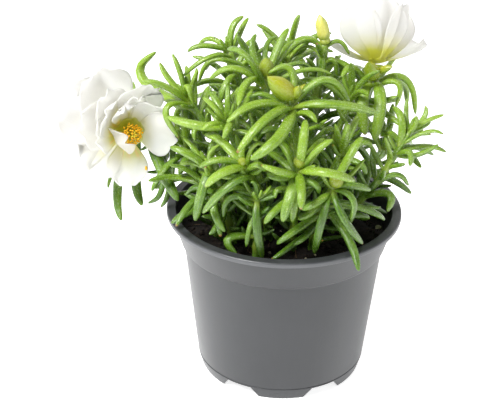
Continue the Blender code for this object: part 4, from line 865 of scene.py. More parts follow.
def petal_axes(petal: Petal) -> tuple[Vector, Vector, Vector]:
    """Find the ways out from the flower's axis, along the petal and out of its face."""
    out, lift = outwards(math.radians(petal.angle)), math.radians(petal.lift)
    return out, leaning(out, UP, lift), UP * math.cos(lift) - out * math.sin(lift)


def petal_point(flower: Flower, petal: Petal, u: float, v: float) -> Vector:
    """Find a point of a petal's middle surface.

    Args:
        flower: The flower.
        petal: The petal.
        u: Share along it, from 0 at its foot.
        v: Place across it, from -1 to 1.

    Returns:
        The point, in millimetres.
    """
    out, along, face = petal_axes(petal)
    half = 0.5 * petal.width * petal_girth(u)
    reach = petal.length * u * (1.0 - 0.1 * v * v * u)
    belly = 4.0 * petal.belly * petal.length * u * (1.0 - u)
    wave = 1.1 * u * u * math.sin(5.0 * v + petal.angle)
    rise = 0.14 * half * v * v + wave + half * v * math.tan(math.radians(petal.roll)) - belly
    foot = (out * (3.2 - petal.layer * 0.2)
            + UP * (0.8 + 0.6 * petal.layer + 0.5 * math.sin(petal.angle) ** 2))
    local = foot + along * reach + UP.cross(out) * half * v + face * rise
    return flower.foot + flower.frame @ local


Feed = NodeSocket | float | tuple


class Tree:
    """Builds a node tree. What goes into a node is a socket, a number or a colour."""

    def __init__(self, tree: bpy.types.NodeTree, place: str) -> None:
        """Start with the texture coordinates of that name."""
        self.tree = tree
        self.place = self.add("ShaderNodeTexCoord").outputs[place]

    def feed(self, socket: NodeSocket, value: Feed) -> None:
        """Put a value into a socket."""
        if isinstance(value, NodeSocket):
            self.tree.links.new(value, socket)
        else:
            socket.default_value = (*value, 1.0) if socket.type == "RGBA" else value

    def add(self, kind: str, feeds: dict | None = None, **values: object) -> Node:
        """Add a node.

        Args:
            kind: Blender's name of it.
            feeds: What goes into its sockets, by their names or numbers.
            values: Its properties.

        Returns:
            The node.
        """
        node = self.tree.nodes.new(kind)
        for key, value in values.items():
            setattr(node, key, value)
        for key, value in (feeds or {}).items():
            self.feed(node.inputs[key], value)
        return node

    def noise(self, scale: float, detail: float = 3.0, roughness: float = 0.55,
              place: NodeSocket | None = None) -> NodeSocket:
        """Add a noise, read at the object's own coordinates where no place is given."""
        feeds = {"Scale": scale, "Detail": detail, "Roughness": roughness,
                 "Vector": place or self.place}
        return self.add("ShaderNodeTexNoise", feeds).outputs["Fac"]

    def math(self, operation: str, a: Feed, b: Feed, clamp: bool = False) -> NodeSocket:
        """Join two values by one of Blender's operations, clamped to 0 to 1 on request."""
        node = self.add("ShaderNodeMath", {0: a, 1: b}, operation=operation, use_clamp=clamp)
        return node.outputs["Value"]

    def times(self, a: Feed, b: Feed) -> NodeSocket:
        """Multiply two values."""
        return self.math("MULTIPLY", a, b)

    def plus(self, a: Feed, b: Feed, clamp: bool = False) -> NodeSocket:
        """Add two values."""
        return self.math("ADD", a, b, clamp)

    def sway(self, value: Feed, by: NodeSocket, amount: float, clamp: bool = False) -> NodeSocket:
        """Move a value by as much as another lies above or below a half."""
        return self.plus(value, self.times(self.math("SUBTRACT", by, 0.5), amount), clamp)

    def fit(self, value: NodeSocket, low: float, high: float, to_low: float = 0.0,
            to_high: float = 1.0, way: str = "SMOOTHSTEP") -> NodeSocket:
        """Map the range from low to high to another, smoothly or in Blender's way of that name."""
        feeds = {"Value": value, "From Min": low, "From Max": high, "To Min": to_low,
                 "To Max": to_high}
        return self.add("ShaderNodeMapRange", feeds, interpolation_type=way).outputs["Result"]

    def ramp(self, value: NodeSocket, *stops: tuple[float, tuple]) -> NodeSocket:
        """Colour a value by a ramp of stops, each a place and its colour."""
        node = self.add("ShaderNodeValToRGB", {"Fac": value})
        marks = node.color_ramp.elements
        while len(marks) < len(stops):
            marks.new(0.5)
        for mark, (place, colour) in zip(marks, stops):
            mark.position = place
            mark.color = (*colour, 1.0)
        return node.outputs["Color"]

    def mix(self, share: Feed, a: Feed, b: Feed, blend: str = "MIX") -> NodeSocket:
        """Mix two colours in Blender's way of that name, share being how much of the second."""
        node = self.add("ShaderNodeMix", data_type="RGBA", blend_type=blend)
        for number, value in ((0, share), (6, a), (7, b)):
            self.feed(node.inputs[number], value)
        return node.outputs[2]

    def point(self, x: Feed, y: Feed, z: Feed = 0.0) -> NodeSocket:
        """Join three values into a place."""
        return self.add("ShaderNodeCombineXYZ", {"X": x, "Y": y, "Z": z}).outputs["Vector"]

    def parts(self, place: NodeSocket) -> bpy.types.NodeOutputs:
        """Split a place into its three values."""
        return self.add("ShaderNodeSeparateXYZ", {"Vector": place}).outputs


class Nodes(Tree):
    """Builds one node material: a Principled shader and what feeds it."""

    def __init__(self, name: str, roughness: float, specular: float) -> None:
        """Start the material.

        Args:
            name: The material's name.
            roughness: Roughness where nothing drives it.
            specular: Specular level.
        """
        self.material = bpy.data.materials.new(name)
        self.material.use_nodes = True
        super().__init__(self.material.node_tree, "Object")
        self.shader = self.tree.nodes["Principled BSDF"]
        self.shade({"Roughness": roughness, "Specular IOR Level": specular})

    def shade(self, feeds: dict[str, Feed]) -> None:
        """Feed the shader's own sockets, by their names."""
        for key, value in feeds.items():
            self.feed(self.shader.inputs[key], value)

    def painted(self, name: str) -> tuple[NodeSocket, ...]:
        """Read the four numbers that a piece's own colour attribute holds."""
        node = self.add("ShaderNodeAttribute", attribute_name=name)
        parts = self.add("ShaderNodeSeparateColor", {"Color": node.outputs["Color"]})
        return (*parts.outputs, node.outputs["Alpha"])

    def bump(self, height: NodeSocket, distance: float, strength: float) -> None:
        """Raise the surface by a height, distance metres for a height of 1."""
        feeds = {"Height": height, "Distance": distance, "Strength": strength}
        self.shade({"Normal": self.add("ShaderNodeBump", feeds).outputs["Normal"]})

    def soft(self, weight: float, radius: tuple, scale: float) -> None:
        """Let light through the surface's skin."""
        self.shade({"Subsurface Weight": weight, "Subsurface Radius": radius,
                    "Subsurface Scale": scale})


@dataclass(frozen=True)
class FleshyFinish:
    """Glossy leaves, stems and buds, coloured by the growth attribute: share, chance, painted light and
    shade, bud.
    """

    name: str = "fleshy_green"
    # dark, middle and bright: the leaf green in painted shade, half light and painted light
    dark: tuple = (0.018, 0.050, 0.007)
    middle: tuple = (0.095, 0.205, 0.012)
    bright: tuple = (0.255, 0.410, 0.026)
    # pale colour of the painted glints along the highlight streaks
    painted_glint: tuple = (0.600, 0.700, 0.400)
    foot: tuple = (0.450, 0.560, 0.080)
    bud: tuple = (0.390, 0.400, 0.018)
    dry: tuple = (0.300, 0.140, 0.040)

    def material(self) -> Material:
        """Make the finish's material."""
        n = Nodes(self.name, 0.3, 0.75)
        share, chance, light, bud = n.painted(GROWTH)
        around, facing, along, _ = n.painted(GRAIN)
        mottle = n.noise(420.0, 4.0, 0.6)
        lines = n.point(n.plus(n.times(around, 4.5), n.times(chance, 40.0)), n.times(facing, 2.0),
                        n.times(along, 1.6))
        streak = n.noise(1.0, 3.0, 0.6, lines)
        # value: the painted light and shade of the growth attribute, with the leaf's own mottle and tone
        value = n.sway(n.sway(light, mottle, 0.35), n.noise(95.0, 2.0), 0.3)
        # The streaks along each leaf lighten and darken its colour: partly the leaf's own pale lines,
        # partly painted highlight streaks.
        value = n.sway(value, streak, 1.1, True)
        # Dark is the shaded green and bright the lit green: painted shade and painted light of one
        # colour.
        green = n.ramp(value, (0.0, self.dark), (0.48, self.middle), (1.0, self.bright))
        # Pale painted glints, speckled along the highlight streaks and more on the brighter-lit leaves.
        speckle = n.times(n.fit(n.noise(1250.0, 3.0, 0.65), 0.50, 0.74), n.fit(streak, 0.42, 0.62))
        green = n.mix(n.times(speckle, n.fit(value, 0.35, 0.8, 0.15, 0.85)), green, self.painted_glint)
        green = n.mix(n.times(n.fit(share, 0.0, 0.22, 1.0, 0.0), 0.65), green, self.foot)
        worn = n.times(n.fit(share, 0.955, 0.995), n.fit(chance, 0.86, 0.92))
        green = n.mix(worn, green, self.dry)
        gloss = n.plus(n.times(n.noise(700.0, 2.0), 0.4), n.times(streak, 0.6))
        n.shade({"Base Color": n.mix(bud, green, self.bud),
                 "Roughness": n.fit(gloss, 0.3, 0.7, 0.34, 0.13)})
        ribs = n.plus(n.times(mottle, 1.5), n.times(streak, 1.2))
        n.bump(n.plus(n.noise(1500.0, 3.0, 0.6), ribs), 0.0003, 0.65)
        n.soft(0.25, (1.0, 1.5, 0.3), MM)
        return n.material


@dataclass(frozen=True)
class PetalFinish:
    """Thin white petals with a yellow-green foot, by the petal attribute: share, edge, chance, fold."""

    white: tuple = (0.930, 0.925, 0.905)
    cream: tuple = (0.900, 0.870, 0.560)
    eye: tuple = (0.680, 0.690, 0.025)
    warm: tuple = (0.900, 0.560, 0.060)
    shadow: tuple = (0.86, 0.85, 0.80)
    foot_end: float = 0.26
    glow: float = 0.56
    # painted glow: strength of the petals' emission in their own colour
    painted_glow: float = 0.07

    def material(self) -> Material:
        """Make the finish's material."""
        n = Nodes("white_petal", 0.5, 0.3)
        share, _, spread, fold = n.painted(PETAL)
        wisp = n.noise(300.0, 3.0, 0.6)
        reach = n.sway(n.sway(share, wisp, 0.16), spread, -0.36)
        creamy = n.mix(n.fit(reach, self.foot_end, self.foot_end + 0.3), self.cream, self.white)
        rays = n.noise(1.0, 2.0, 0.5, n.point(n.times(fold, 14.0), share))
        ray = n.times(n.fit(rays, 0.42, 0.62), n.fit(spread, 0.55, 0.75))
        eye = n.mix(ray, self.eye, self.warm)
        tinted = n.mix(n.fit(reach, self.foot_end * 0.62, self.foot_end * 1.25), eye, creamy)
        shade = n.times(n.fit(n.noise(140.0, 2.0), 0.35, 0.75), 0.1)
        hue = n.mix(shade, tinted, self.shadow, "MULTIPLY")
        # The petals give off a little light in their own colour: painted light that stands in for light
        # scattered through them.
        n.shade({"Base Color": hue, "Emission Color": hue, "Emission Strength": self.painted_glow,
                 "Roughness": n.fit(wisp, 0.2, 0.8, 0.42, 0.6)})
        veins = n.add("ShaderNodeTexWave", {
            "Scale": 1.0, "Distortion": 1.2, "Detail": 2.0,
            "Vector": n.point(n.times(fold, 9.0), n.times(share, 1.5)),
        }, wave_type="BANDS", bands_direction="X")
        n.bump(n.plus(veins.outputs["Fac"], n.times(n.noise(900.0), 0.6)), 0.00005, 0.5)
        n.soft(0.7, (1.0, 0.97, 0.88), 0.0022)
        glow = n.add("ShaderNodeBsdfTranslucent", {"Color": self.white})
        both = n.add("ShaderNodeMixShader", {"Fac": self.glow, 1: n.shader.outputs["BSDF"],
                                             2: glow.outputs["BSDF"]})
        n.feed(n.tree.nodes["Material Output"].inputs["Surface"], both.outputs["Shader"])
        return n.material


@dataclass(frozen=True)
class PollenFinish:
    """Orange stamens on a green-yellow disc, by the growth attribute's share and chance."""

    anther: tuple = (0.950, 0.400, 0.008)
    pale: tuple = (1.000, 0.680, 0.030)
    stalk: tuple = (0.650, 0.620, 0.050)

    def material(self) -> Material:
        """Make the finish's material."""
        n = Nodes("pollen", 0.6, 0.3)
        share, chance, _, _ = n.painted(GROWTH)
        grain = n.noise(2600.0)
        dust = n.mix(n.times(n.plus(chance, grain), 0.5), self.anther, self.pale)
        n.shade({"Base Color": n.mix(n.fit(share, 0.45, 0.6), self.stalk, dust)})
        n.bump(grain, 0.00015, 0.6)
        return n.material


@dataclass(frozen=True)
class PotFinish:
    """Satin grey moulded plastic with faint flow marks round the rim."""

    grey: tuple = (0.034, 0.036, 0.039)
    pale: tuple = (0.056, 0.058, 0.062)
    # painted highlight: the paler colour of the band at the lip
    lip_highlight: tuple = (0.110, 0.114, 0.120)

    def material(self) -> Material:
        """Make the finish's material."""
        n = Nodes("grey_plastic", 0.36, 0.42)
        cloud = n.noise(38.0, 4.0, 0.6)
        stretch = n.add("ShaderNodeMapping", {"Scale": (1.0, 1.0, 0.12), "Vector": n.place})
        streaks = n.noise(260.0, 3.0, 0.6, stretch.outputs["Vector"])
        height = n.parts(n.place)["Z"]
        flow = n.times(n.fit(n.noise(120.0, 5.0, 0.7), 0.42, 0.7), n.fit(height, 0.0885, 0.0897))
        tone = n.plus(n.times(cloud, 0.6), n.times(streaks, 0.25))
        body = n.mix(n.plus(tone, n.times(flow, 0.9), True), self.grey, self.pale)
        # The band at the lip's height, inside and out, is painted paler: a painted highlight on the same
        # plastic.
        edge = n.times(n.fit(height, 0.0868, 0.0872), n.fit(height, 0.0890, 0.0899, 1.0, 0.0))
        n.shade({"Base Color": n.mix(edge, body, self.lip_highlight),
                 "Roughness": n.fit(n.plus(cloud, flow), 0.3, 1.2, 0.32, 0.46)})
        n.bump(n.plus(n.noise(1800.0, 2.0), n.times(flow, 2.0)), 0.00006, 0.5)
        return n.material


@dataclass(frozen=True)
class SoilFinish:
    """Damp near-black peat with brown flecks."""

    dark: tuple = (0.006, 0.0045, 0.0035)
    brown: tuple = (0.050, 0.030, 0.017)
    roughness: float = 0.85

    def material(self) -> Material:
        """Make the finish's material."""
        n = Nodes("peat", self.roughness, 0.3)
        grain = n.noise(900.0, 4.0, 0.65)
        patch = n.noise(160.0)
        tone = n.times(n.fit(grain, 0.42, 0.75), n.fit(patch, 0.3, 0.7))
        n.shade({"Base Color": n.mix(tone, self.dark, self.brown)})
        n.bump(n.plus(grain, n.times(patch, 2.0)), 0.0006, 0.9)
        return n.material


@dataclass(frozen=True)
class GrainFinish:
    """A pale rough mineral or a dry fibre in the soil."""

    name: str
    colour: tuple
    shade: tuple
    roughness: float = 0.8

    def material(self) -> Material:
        """Make the finish's material."""
        n = Nodes(self.name, self.roughness, 0.3)
        grain = n.noise(1400.0, 4.0, 0.6)
        n.shade({"Base Color": n.mix(n.fit(grain, 0.3, 0.7), self.shade, self.colour)})
        n.bump(grain, 0.0002, 0.6)
        return n.material


class Slot(Enum):
    """The record's material slots."""

    POT = "pot"
    SOIL = "soil"
    LEAVES = "leaves"
    PETALS = "petals"
    STAMENS = "stamens"
    BUD = "bud"


GROWTH = "growth"           # share along the body, its own draw, how light it is (painted light and shade), how yellow
GRAIN = "grain"             # place round the body, and along it
PETAL = "petal"             # share along the petal, way to its edge, reach of the yellow, fold


def new_mesh(layer: str | None = None) -> BMesh:
    """Start a mesh, with a colour attribute of its own where it is painted."""
    bm = bmesh.new()
    if layer is not None:
        bm.verts.layers.float_color.new(layer)
    if layer == GROWTH:
        bm.verts.layers.float_color.new(GRAIN)
    return bm


@lru_cache(maxsize=None)
def plain_sphere(sides: int, rings: int) -> bpy.types.Mesh:
    """Make a unit sphere once for all that starts from it, an icosphere where it has no sides."""
    bm = new_mesh(GROWTH)
    if sides:
        bmesh.ops.create_uvsphere(bm, u_segments=sides, v_segments=rings, radius=1.0)
    else:
        bmesh.ops.create_icosphere(bm, subdivisions=rings, radius=1.0)
    mesh = bpy.data.meshes.new("plain_sphere")
    bm.to_mesh(mesh)
    bm.free()
    return mesh


def add_sphere(bm: BMesh, sides: int, rings: int) -> list[BMVert]:
    """Add a unit sphere to a mesh.

    Args:
        bm: The mesh.
        sides: Its sides, or 0 for an icosphere.
        rings: Its rings, or the icosphere's subdivisions.

    Returns:
        The new vertices.
    """
    count = len(bm.verts)
    bm.from_mesh(plain_sphere(sides, rings))
    bm.verts.ensure_lookup_table()
    return bm.verts[count:]


def new_object(name: str, bm: BMesh) -> Object:
    """Turn a mesh in millimetres into an object, which uses the mesh up."""
    bmesh.ops.scale(bm, vec=(MM, MM, MM), verts=bm.verts)
    mesh = bpy.data.meshes.new(name)
    bm.to_mesh(mesh)
    bm.free()
    obj = bpy.data.objects.new(name, mesh)
    bpy.context.scene.collection.objects.link(obj)
    return obj


def finish_piece(name: str, bm: BMesh, material: Material, slot: Slot, *nodes: str) -> Object:
    """Turn a mesh in millimetres into a piece that rides on the part.

    Args:
        name: The piece's name.
        bm: Its mesh, which is used up.
        material: Its material.
        slot: The record's slot of its finish; not used.
        nodes: The CAD nodes that it stands for.

    Returns:
        The piece.
    """
    obj = new_object(name, bm)
    obj.data.shade_smooth()
    obj.data.materials.append(material)
    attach(obj, BODY)
    if nodes:
        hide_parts(*nodes)
    return obj


def join_sheet(bm: BMesh, sheet: BMesh, thickness: float) -> None:
    """Thicken a sheet and join it to a mesh, which uses the sheet up."""
    sheet.normal_update()
    bmesh.ops.solidify(sheet, geom=sheet.faces, thickness=thickness)
    bmesh.ops.recalc_face_normals(sheet, faces=sheet.faces)
    made = bpy.data.meshes.new("sheet")
    sheet.to_mesh(made)
    sheet.free()
    bm.from_mesh(made)
    bpy.data.meshes.remove(made)


@dataclass
class Spindle:
    """A closed fleshy body along a curve, pointed at both ends, made from a sphere."""

    curve: Curve
    width: float
    girth: Callable[[float], float]
    thickness: float = 1.0
    sides: int = 14
    rings: int = 20
    groove: float = 0.0
    ridges: float = 0.0
    twist: float = 0.0
    even: bool = False

    def add(self, bm: BMesh, paint: tuple | Callable[[float, Vector], tuple]) -> None:
        """Add the body to a mesh.

        Args:
            bm: The mesh.
            paint: The growth attribute, or what gives it from the share along the body and the
                way that faces out.
        """
        made = add_sphere(bm, self.sides, self.rings)
        layer = bm.verts.layers.float_color[GROWTH]
        grain = bm.verts.layers.float_color[GRAIN]
        chord = (self.curve.point(1.0) - self.curve.point(0.0)).normalized()
        level = chord.cross(UP)
        level = level.normalized() if level.length > 0.1 else RIGHT
        rings = {}
        for vert in made:
            key = round(vert.co.z, 4)
            if key not in rings:
                height = min(max(vert.co.z, -1.0), 1.0)
                s = 1.0 - math.acos(height) / math.pi if self.even else 0.5 + 0.5 * height
                along = self.curve.direction(s)
                face = level.cross(along).normalized()
                rings[key] = (s, self.curve.point(s), along.cross(face), face,
                              0.5 * self.width * self.girth(s))
            s, centre, across, face, wide = rings[key]
            flat = vert.co.xy.normalized() if vert.co.xy.length > 1e-6 else Vector((0.0, 0.0))
            angle = math.atan2(flat.y, flat.x) + self.twist * s
            wide *= 1.0 + self.ridges * math.cos(2.0 * angle) ** 6
            rise = flat.y * self.thickness * (1.0 - self.groove * max(flat.y, 0.0) ** 6)
            outward = across * flat.x + face * flat.y
            vert.co = centre + (across * flat.x + face * rise) * wide
            vert[layer] = paint(s, outward) if callable(paint) else paint
            vert[grain] = (flat.x, flat.y, s, 0.0)


@dataclass
class LeafyStem:
    """A stem with its leaves, its small leaves and its buds."""

    shoot: Shoot
    curve: Curve
    leaves: list[Grown] = field(default_factory=list)
    sides: int = 14
    pieces: int = 44
    thickness: float = 0.8
    groove: float = 0.12

    def build(self, material: Material, chance: random.Random) -> Object:
        """Build the stem's mesh and dress it.

        Args:
            material: The fleshy finish.
            chance: Draws the small differences.

        Returns:
            The piece, which stands for the stem's CAD node.
        """
        bm = new_mesh(GROWTH)
        self.add_stem(bm)
        for leaf in self.leaves:
            self.add_leaf(bm, leaf, chance.random())
        for bud in self.shoot.buds:
            self.add_bud(bm, bud, chance.random())
        if self.shoot.end_axis is not None:
            self.add_calyx(bm)
        elif self.shoot.heart_bud:
            self.add_heart_bud(bm, self.shoot.heart_bud)
        elif not self.shoot.buds and self.shoot.end_thick is None:
            self.add_heart(bm, chance)
        return finish_piece(f"{self.shoot.name}_grown", bm, material, Slot.LEAVES, self.shoot.name)

    def add_stem(self, bm: BMesh) -> None:
        """Add the tapering stem, a little thicker where leaves leave it."""
        flower = self.shoot.end_axis is not None

        def girth(s: float) -> float:
            """Share of the stem's thickness at s."""
            end = 1.0 if flower else math.sqrt(1.0 - 0.75 * smooth(0.965, 1.001, s))
            swell = 1.0 + 0.05 * math.cos(0.9 * s * self.curve.length)
            return (self.shoot.foot_swell - 0.28 * s) * swell * end

        rod = Spindle(self.curve, 2.0 * self.shoot.thick, girth, 1.0, self.sides, self.pieces, even=True)
        # The stem's colour gets more painted light towards its top and more painted shade at its foot.
        rod.add(bm, lambda s, out: (0.10 + 0.14 * math.sin(s * 9.0) ** 2, 0.4, 0.3 + 0.4 * s, 0.0))

    def add_leaf(self, bm: BMesh, leaf: Grown, chance: float) -> None:
        """Add one leaf.

        Args:
            bm: The mesh.
            leaf: The leaf.
            chance: Its own draw, from 0 to 1.
        """
        sides, rings = (10, 13) if leaf.small else (16, 24)
        body = Spindle(leaf.curve, leaf.width, leaf_girth, self.thickness, sides, rings, self.groove)
        # Its upper side gets a little more painted light than its underside.
        body.add(bm, lambda s, out: (s, chance, leaf.light + 0.12 * out.z, 0.0))

    def add_bud(self, bm: BMesh, bud: Bud, chance: float) -> None:
        """Add one bud, yellow above and green below.

        Args:
            bm: The mesh.
            bud: The bud.
            chance: Its own draw, from 0 to 1.
        """
        curve = Curve([seen(*bud.foot), seen(*bud.tip)])
        body = Spindle(curve, bud.width, bud_girth, 1.0, 28, 26, ridges=0.035, twist=0.8)
        body.add(bm, lambda s, out: (
            0.3, chance, 0.85, 0.35 + 0.6 * smooth(-0.5, 0.6, out.z) * smooth(0.0, 0.3, s)))

    def add_calyx(self, bm: BMesh) -> None:
        """Add the green cup between the stem and its flower."""
        axis = self.shoot.end_axis
        top = flower_foot(self.shoot.name) - GAP * axis
        low, high = self.shoot.thick * 0.8, self.shoot.end_thick
        cup = Spindle(Curve([top - (CALYX_DEPTH + 1.0) * axis, top]), 2.0 * high,
                      lambda s: (low + (high - low) * smooth(0.0, 1.0, s)) / high, 1.0, 28, 10, even=True)
        cup.add(bm, lambda s, out: (0.12, 0.3, 0.7, 0.35 * s))

    def add_heart_bud(self, bm: BMesh, width: float) -> None:
        """Add the round young bud, width millimetres wide, that sits in the crown's middle."""
        axis, end = self.curve.direction(1.0), self.curve.point(1.0)
        body = Spindle(Curve([end - axis * 0.5, end + axis * width]), width, round_ends, 1.0, 24, 18)
        body.add(bm, lambda s, out: (0.3, 0.4, 0.8, 0.2 + 0.35 * s))

    def add_heart(self, bm: BMesh, chance: random.Random) -> None:
        """Add the young leaves that stand close together in the crown's middle.

        Args:
            bm: The mesh.
            chance: Draws the small differences.
        """
        axis = self.curve.direction(1.0)
        side = axis.orthogonal().normalized()
        end = self.curve.point(1.0)
        for number in range(6):
            side.rotate(Matrix.Rotation(GOLDEN_ANGLE, 3, axis))
            length = 5.0 + 1.5 * number + chance.uniform(-0.8, 0.8)
            start = end - axis * (0.8 + 0.25 * number)
            way = leaning(axis, side, math.radians(10.0 + 6.5 * number))
            curve = leaf_curve(start, start + way * 0.5 * length + side * 0.06 * length,
                               start + way * length)
            grown = Grown(curve, 1.8 + 0.16 * number, 0.95 - 0.04 * number, True)
            self.add_leaf(bm, grown, 0.3)


@dataclass
class Bloom:
    """An open flower: petals in layers, and stamens round a pistil."""

    flower: Flower
    inner: tuple[Petal, ...] = ()
    columns: int = 18
    rows: int = 26
    thickness: float = 0.4
    ruffle: float = 1.0
    throat: float = 0.0
    stamen_count: int = 64
    filament: float = 0.42
    anther: float = 1.15
    style: float = 6.6
    seed: int = 5

    def build(self, petal: Material, pollen: Material) -> list[Object]:
        """Build the flower's meshes and dress them.

        Args:
            petal: The petals' finish.
            pollen: The stamens' finish.

        Returns:
            The petals' piece and the stamens' piece.
        """
        name = self.flower.name
        chance = random.Random(self.seed)
        bm = new_mesh(PETAL)
        self.add_receptacle(bm)
        for shape in self.flower.petals + self.inner:
            self.add_petal(bm, shape, chance)
        petals = finish_piece(f"{name}_petals_ruffled", bm, petal, Slot.PETALS, f"{name}_petals")
        bm = new_mesh(GROWTH)
        self.add_stamens(bm, chance)
        stamens = finish_piece(f"{name}_stamens_fine", bm, pollen, Slot.STAMENS, f"{name}_stamens")
        return [petals, stamens]

    def add_receptacle(self, bm: BMesh) -> None:
        """Add the rounded foot that the petals grow from."""
        flower = self.flower
        layer = bm.verts.layers.float_color[PETAL]
        made = bmesh.ops.create_uvsphere(bm, u_segments=32, v_segments=16, radius=1.0)["verts"]
        for vert in made:
            x, y, z = vert.co
            share = 0.5 + 0.5 * z
            wide = flower.receptacle * (0.82 + 0.18 * share)
            local = Vector((x * wide, y * wide, share * flower.height))
            vert.co = flower.foot + flower.frame @ local
            vert[layer] = (0.0, 0.0, 0.5, 0.0)
        if self.throat:
            self.add_throat(bm)

    def add_throat(self, bm: BMesh) -> None:
        """Add the shallow green-yellow cup that the stamens stand in."""
        flower = self.flower
        cup = new_mesh(PETAL)
        layer = cup.verts.layers.float_color[PETAL]
        bmesh.ops.create_circle(cup, cap_ends=True, segments=40, radius=1.0)
        bmesh.ops.poke(cup, faces=cup.faces)
        bmesh.ops.subdivide_edges(cup, edges=cup.edges, cuts=5, use_grid_fill=True)
        for vert in cup.verts:
            reach = vert.co.xy.length
            turn = math.atan2(vert.co.y, vert.co.x)
            ragged = 1.0 + 0.05 * math.sin(7.0 * turn) + 0.03 * math.sin(11.0 * turn + 1.0)
            local = Vector((vert.co.x, vert.co.y, 0.0)) * self.throat * (1.0 + (ragged - 1.0) * reach)
            local.z = flower.height - 0.5 + 2.2 * reach ** 2.2
            vert.co = flower.foot + flower.frame @ local
            vert[layer] = (0.05 + 0.1 * reach, 0.0, 0.5, 0.5 + 0.5 * math.sin(9.0 * turn))
        join_sheet(bm, cup, 0.25)

    def add_petal(self, bm: BMesh, petal: Petal, chance: random.Random) -> None:
        """Add one waved petal with a ruffled, notched end.

        Args:
            bm: The mesh.
            petal: The petal.
            chance: Draws the small differences.
        """
        phase, spread = chance.uniform(0.0, 6.28), self.foot_spread(petal)
        blade = new_mesh(PETAL)
        layer = blade.verts.layers.float_color[PETAL]
        bmesh.ops.create_grid(blade, x_segments=self.columns, y_segments=self.rows, size=1.0)
        along, face = (self.flower.frame @ way for way in petal_axes(petal)[1:])
        for vert in blade.verts:
            u, v = 0.5 + 0.5 * vert.co.y, vert.co.x
            edge = smooth(0.35, 1.0, u) * (0.25 + 0.75 * abs(v) ** 1.5 + 0.5 * smooth(0.8, 1.0, u))
            waves = (math.sin(4.6 * v + phase + 3.0 * u) + 0.3 * math.sin(10.0 * v - phase + 5.0 * u))
            crease = 0.5 * math.exp(-(v / 0.12) ** 2) * smooth(0.1, 0.6, u)
            notch = 0.05 * math.exp(-(v / 0.16) ** 2) + 0.018 * math.sin(9.0 * v + phase)
            notch *= smooth(15.0, 24.0, petal.length)
            vert.co = (petal_point(self.flower, petal, u, v)
                       + face * self.ruffle * petal.width / 30.0 * (0.8 * edge * waves - crease)
                       - along * petal.length * notch * u ** 8)
            vert[layer] = (u, abs(v), spread, 0.5 + 0.5 * v)
        join_sheet(bm, blade, self.thickness)

    def foot_spread(self, petal: Petal) -> float:
        """How far the yellow reaches along a petal: far on the lowest and on the inner ones."""
        if not self.throat:
            return 0.5
        if petal in self.inner:
            return 0.8
        return 0.95 if 255 < petal.angle < 275 else 0.3

    def add_stamens(self, bm: BMesh, chance: random.Random) -> None:
        """Add the disc, the filaments with their anthers, and the pistil.

        Args:
            bm: The mesh.
            chance: Draws the small differences.
        """
        flower = self.flower
        axis = flower.axis.normalized()
        low = flower.foot + axis * (flower.height + GAP)
        disc = Curve([low, low + axis * 0.6, low + axis * 1.2])
        Spindle(disc, 5.0, lambda s: round_ends(0.5 + 0.5 * s), 1.0, 24, 10).add(
            bm, (0.1, 0.5, 0.5, 0.0))
        for number in range(self.stamen_count):
            share = math.sqrt((number + 0.5) / self.stamen_count)
            lean = math.radians(4.0 + 33.0 * share + chance.uniform(-4.0, 4.0))
            side = flower.frame @ outwards(number * GOLDEN_ANGLE)
            foot = low + axis * 0.4 + side * 2.0 * share
            length = 7.0 - 1.5 * share + chance.uniform(-0.7, 0.4)
            head = foot + leaning(axis, side, lean) * length
            bend = foot.lerp(head, 0.5) - side * 0.3
            draw = chance.random()
            Spindle(leaf_curve(foot, bend, head), self.filament,
                    lambda s: 0.7 + 0.3 * math.sin(math.pi * s), 1.0, 5, 7).add(
                bm, lambda s, out: (0.35 * s, draw, 0.5, 0.0))
            tilt = Vector([chance.uniform(-1.0, 1.0) for _ in range(3)]).normalized()
            half = (axis * 0.4 + tilt).normalized() * 0.72
            Spindle(Curve([head - half, head + half]), self.anther,
                    lambda s: round_ends(s, 0.6), 0.9, 8, 7).add(bm, (1.0, draw, 0.5, 0.0))
        self.add_pistil(bm, low, axis)
        if self.throat:
            spot = petal_point(flower, flower.petals[4], 0.66, 0.9) + axis * 0.3
            way = flower.frame @ Vector((0.15, -1.0, 0.0)) * 1.3
            Spindle(Curve([spot - way, spot + way]), 1.3, leaf_girth, 0.8, 12, 10).add(
                bm, (1.0, 0.7, 0.5, 0.0))

    def add_pistil(self, bm: BMesh, low: Vector, axis: Vector) -> None:
        """Add the style and its spread lobes.

        Args:
            bm: The mesh.
            low: Where the disc lies.
            axis: The flower's axis.
        """
        top = low + axis * self.style
        Spindle(Curve([low, top]), 0.8, lambda s: 0.9, 1.0, 8, 6).add(bm, (0.3, 0.5, 0.5, 0.0))
        for number in range(5):
            side = self.flower.frame @ outwards(FULL_TURN * number / 5)
            lobe = leaf_curve(top - axis * 0.4, top + axis * 0.7 + side * 0.8,
                              top + axis * 0.6 + side * 2.0)
            Spindle(lobe, 0.6, leaf_girth, 1.0, 8, 8).add(bm, (0.5, 0.9, 0.5, 0.0))


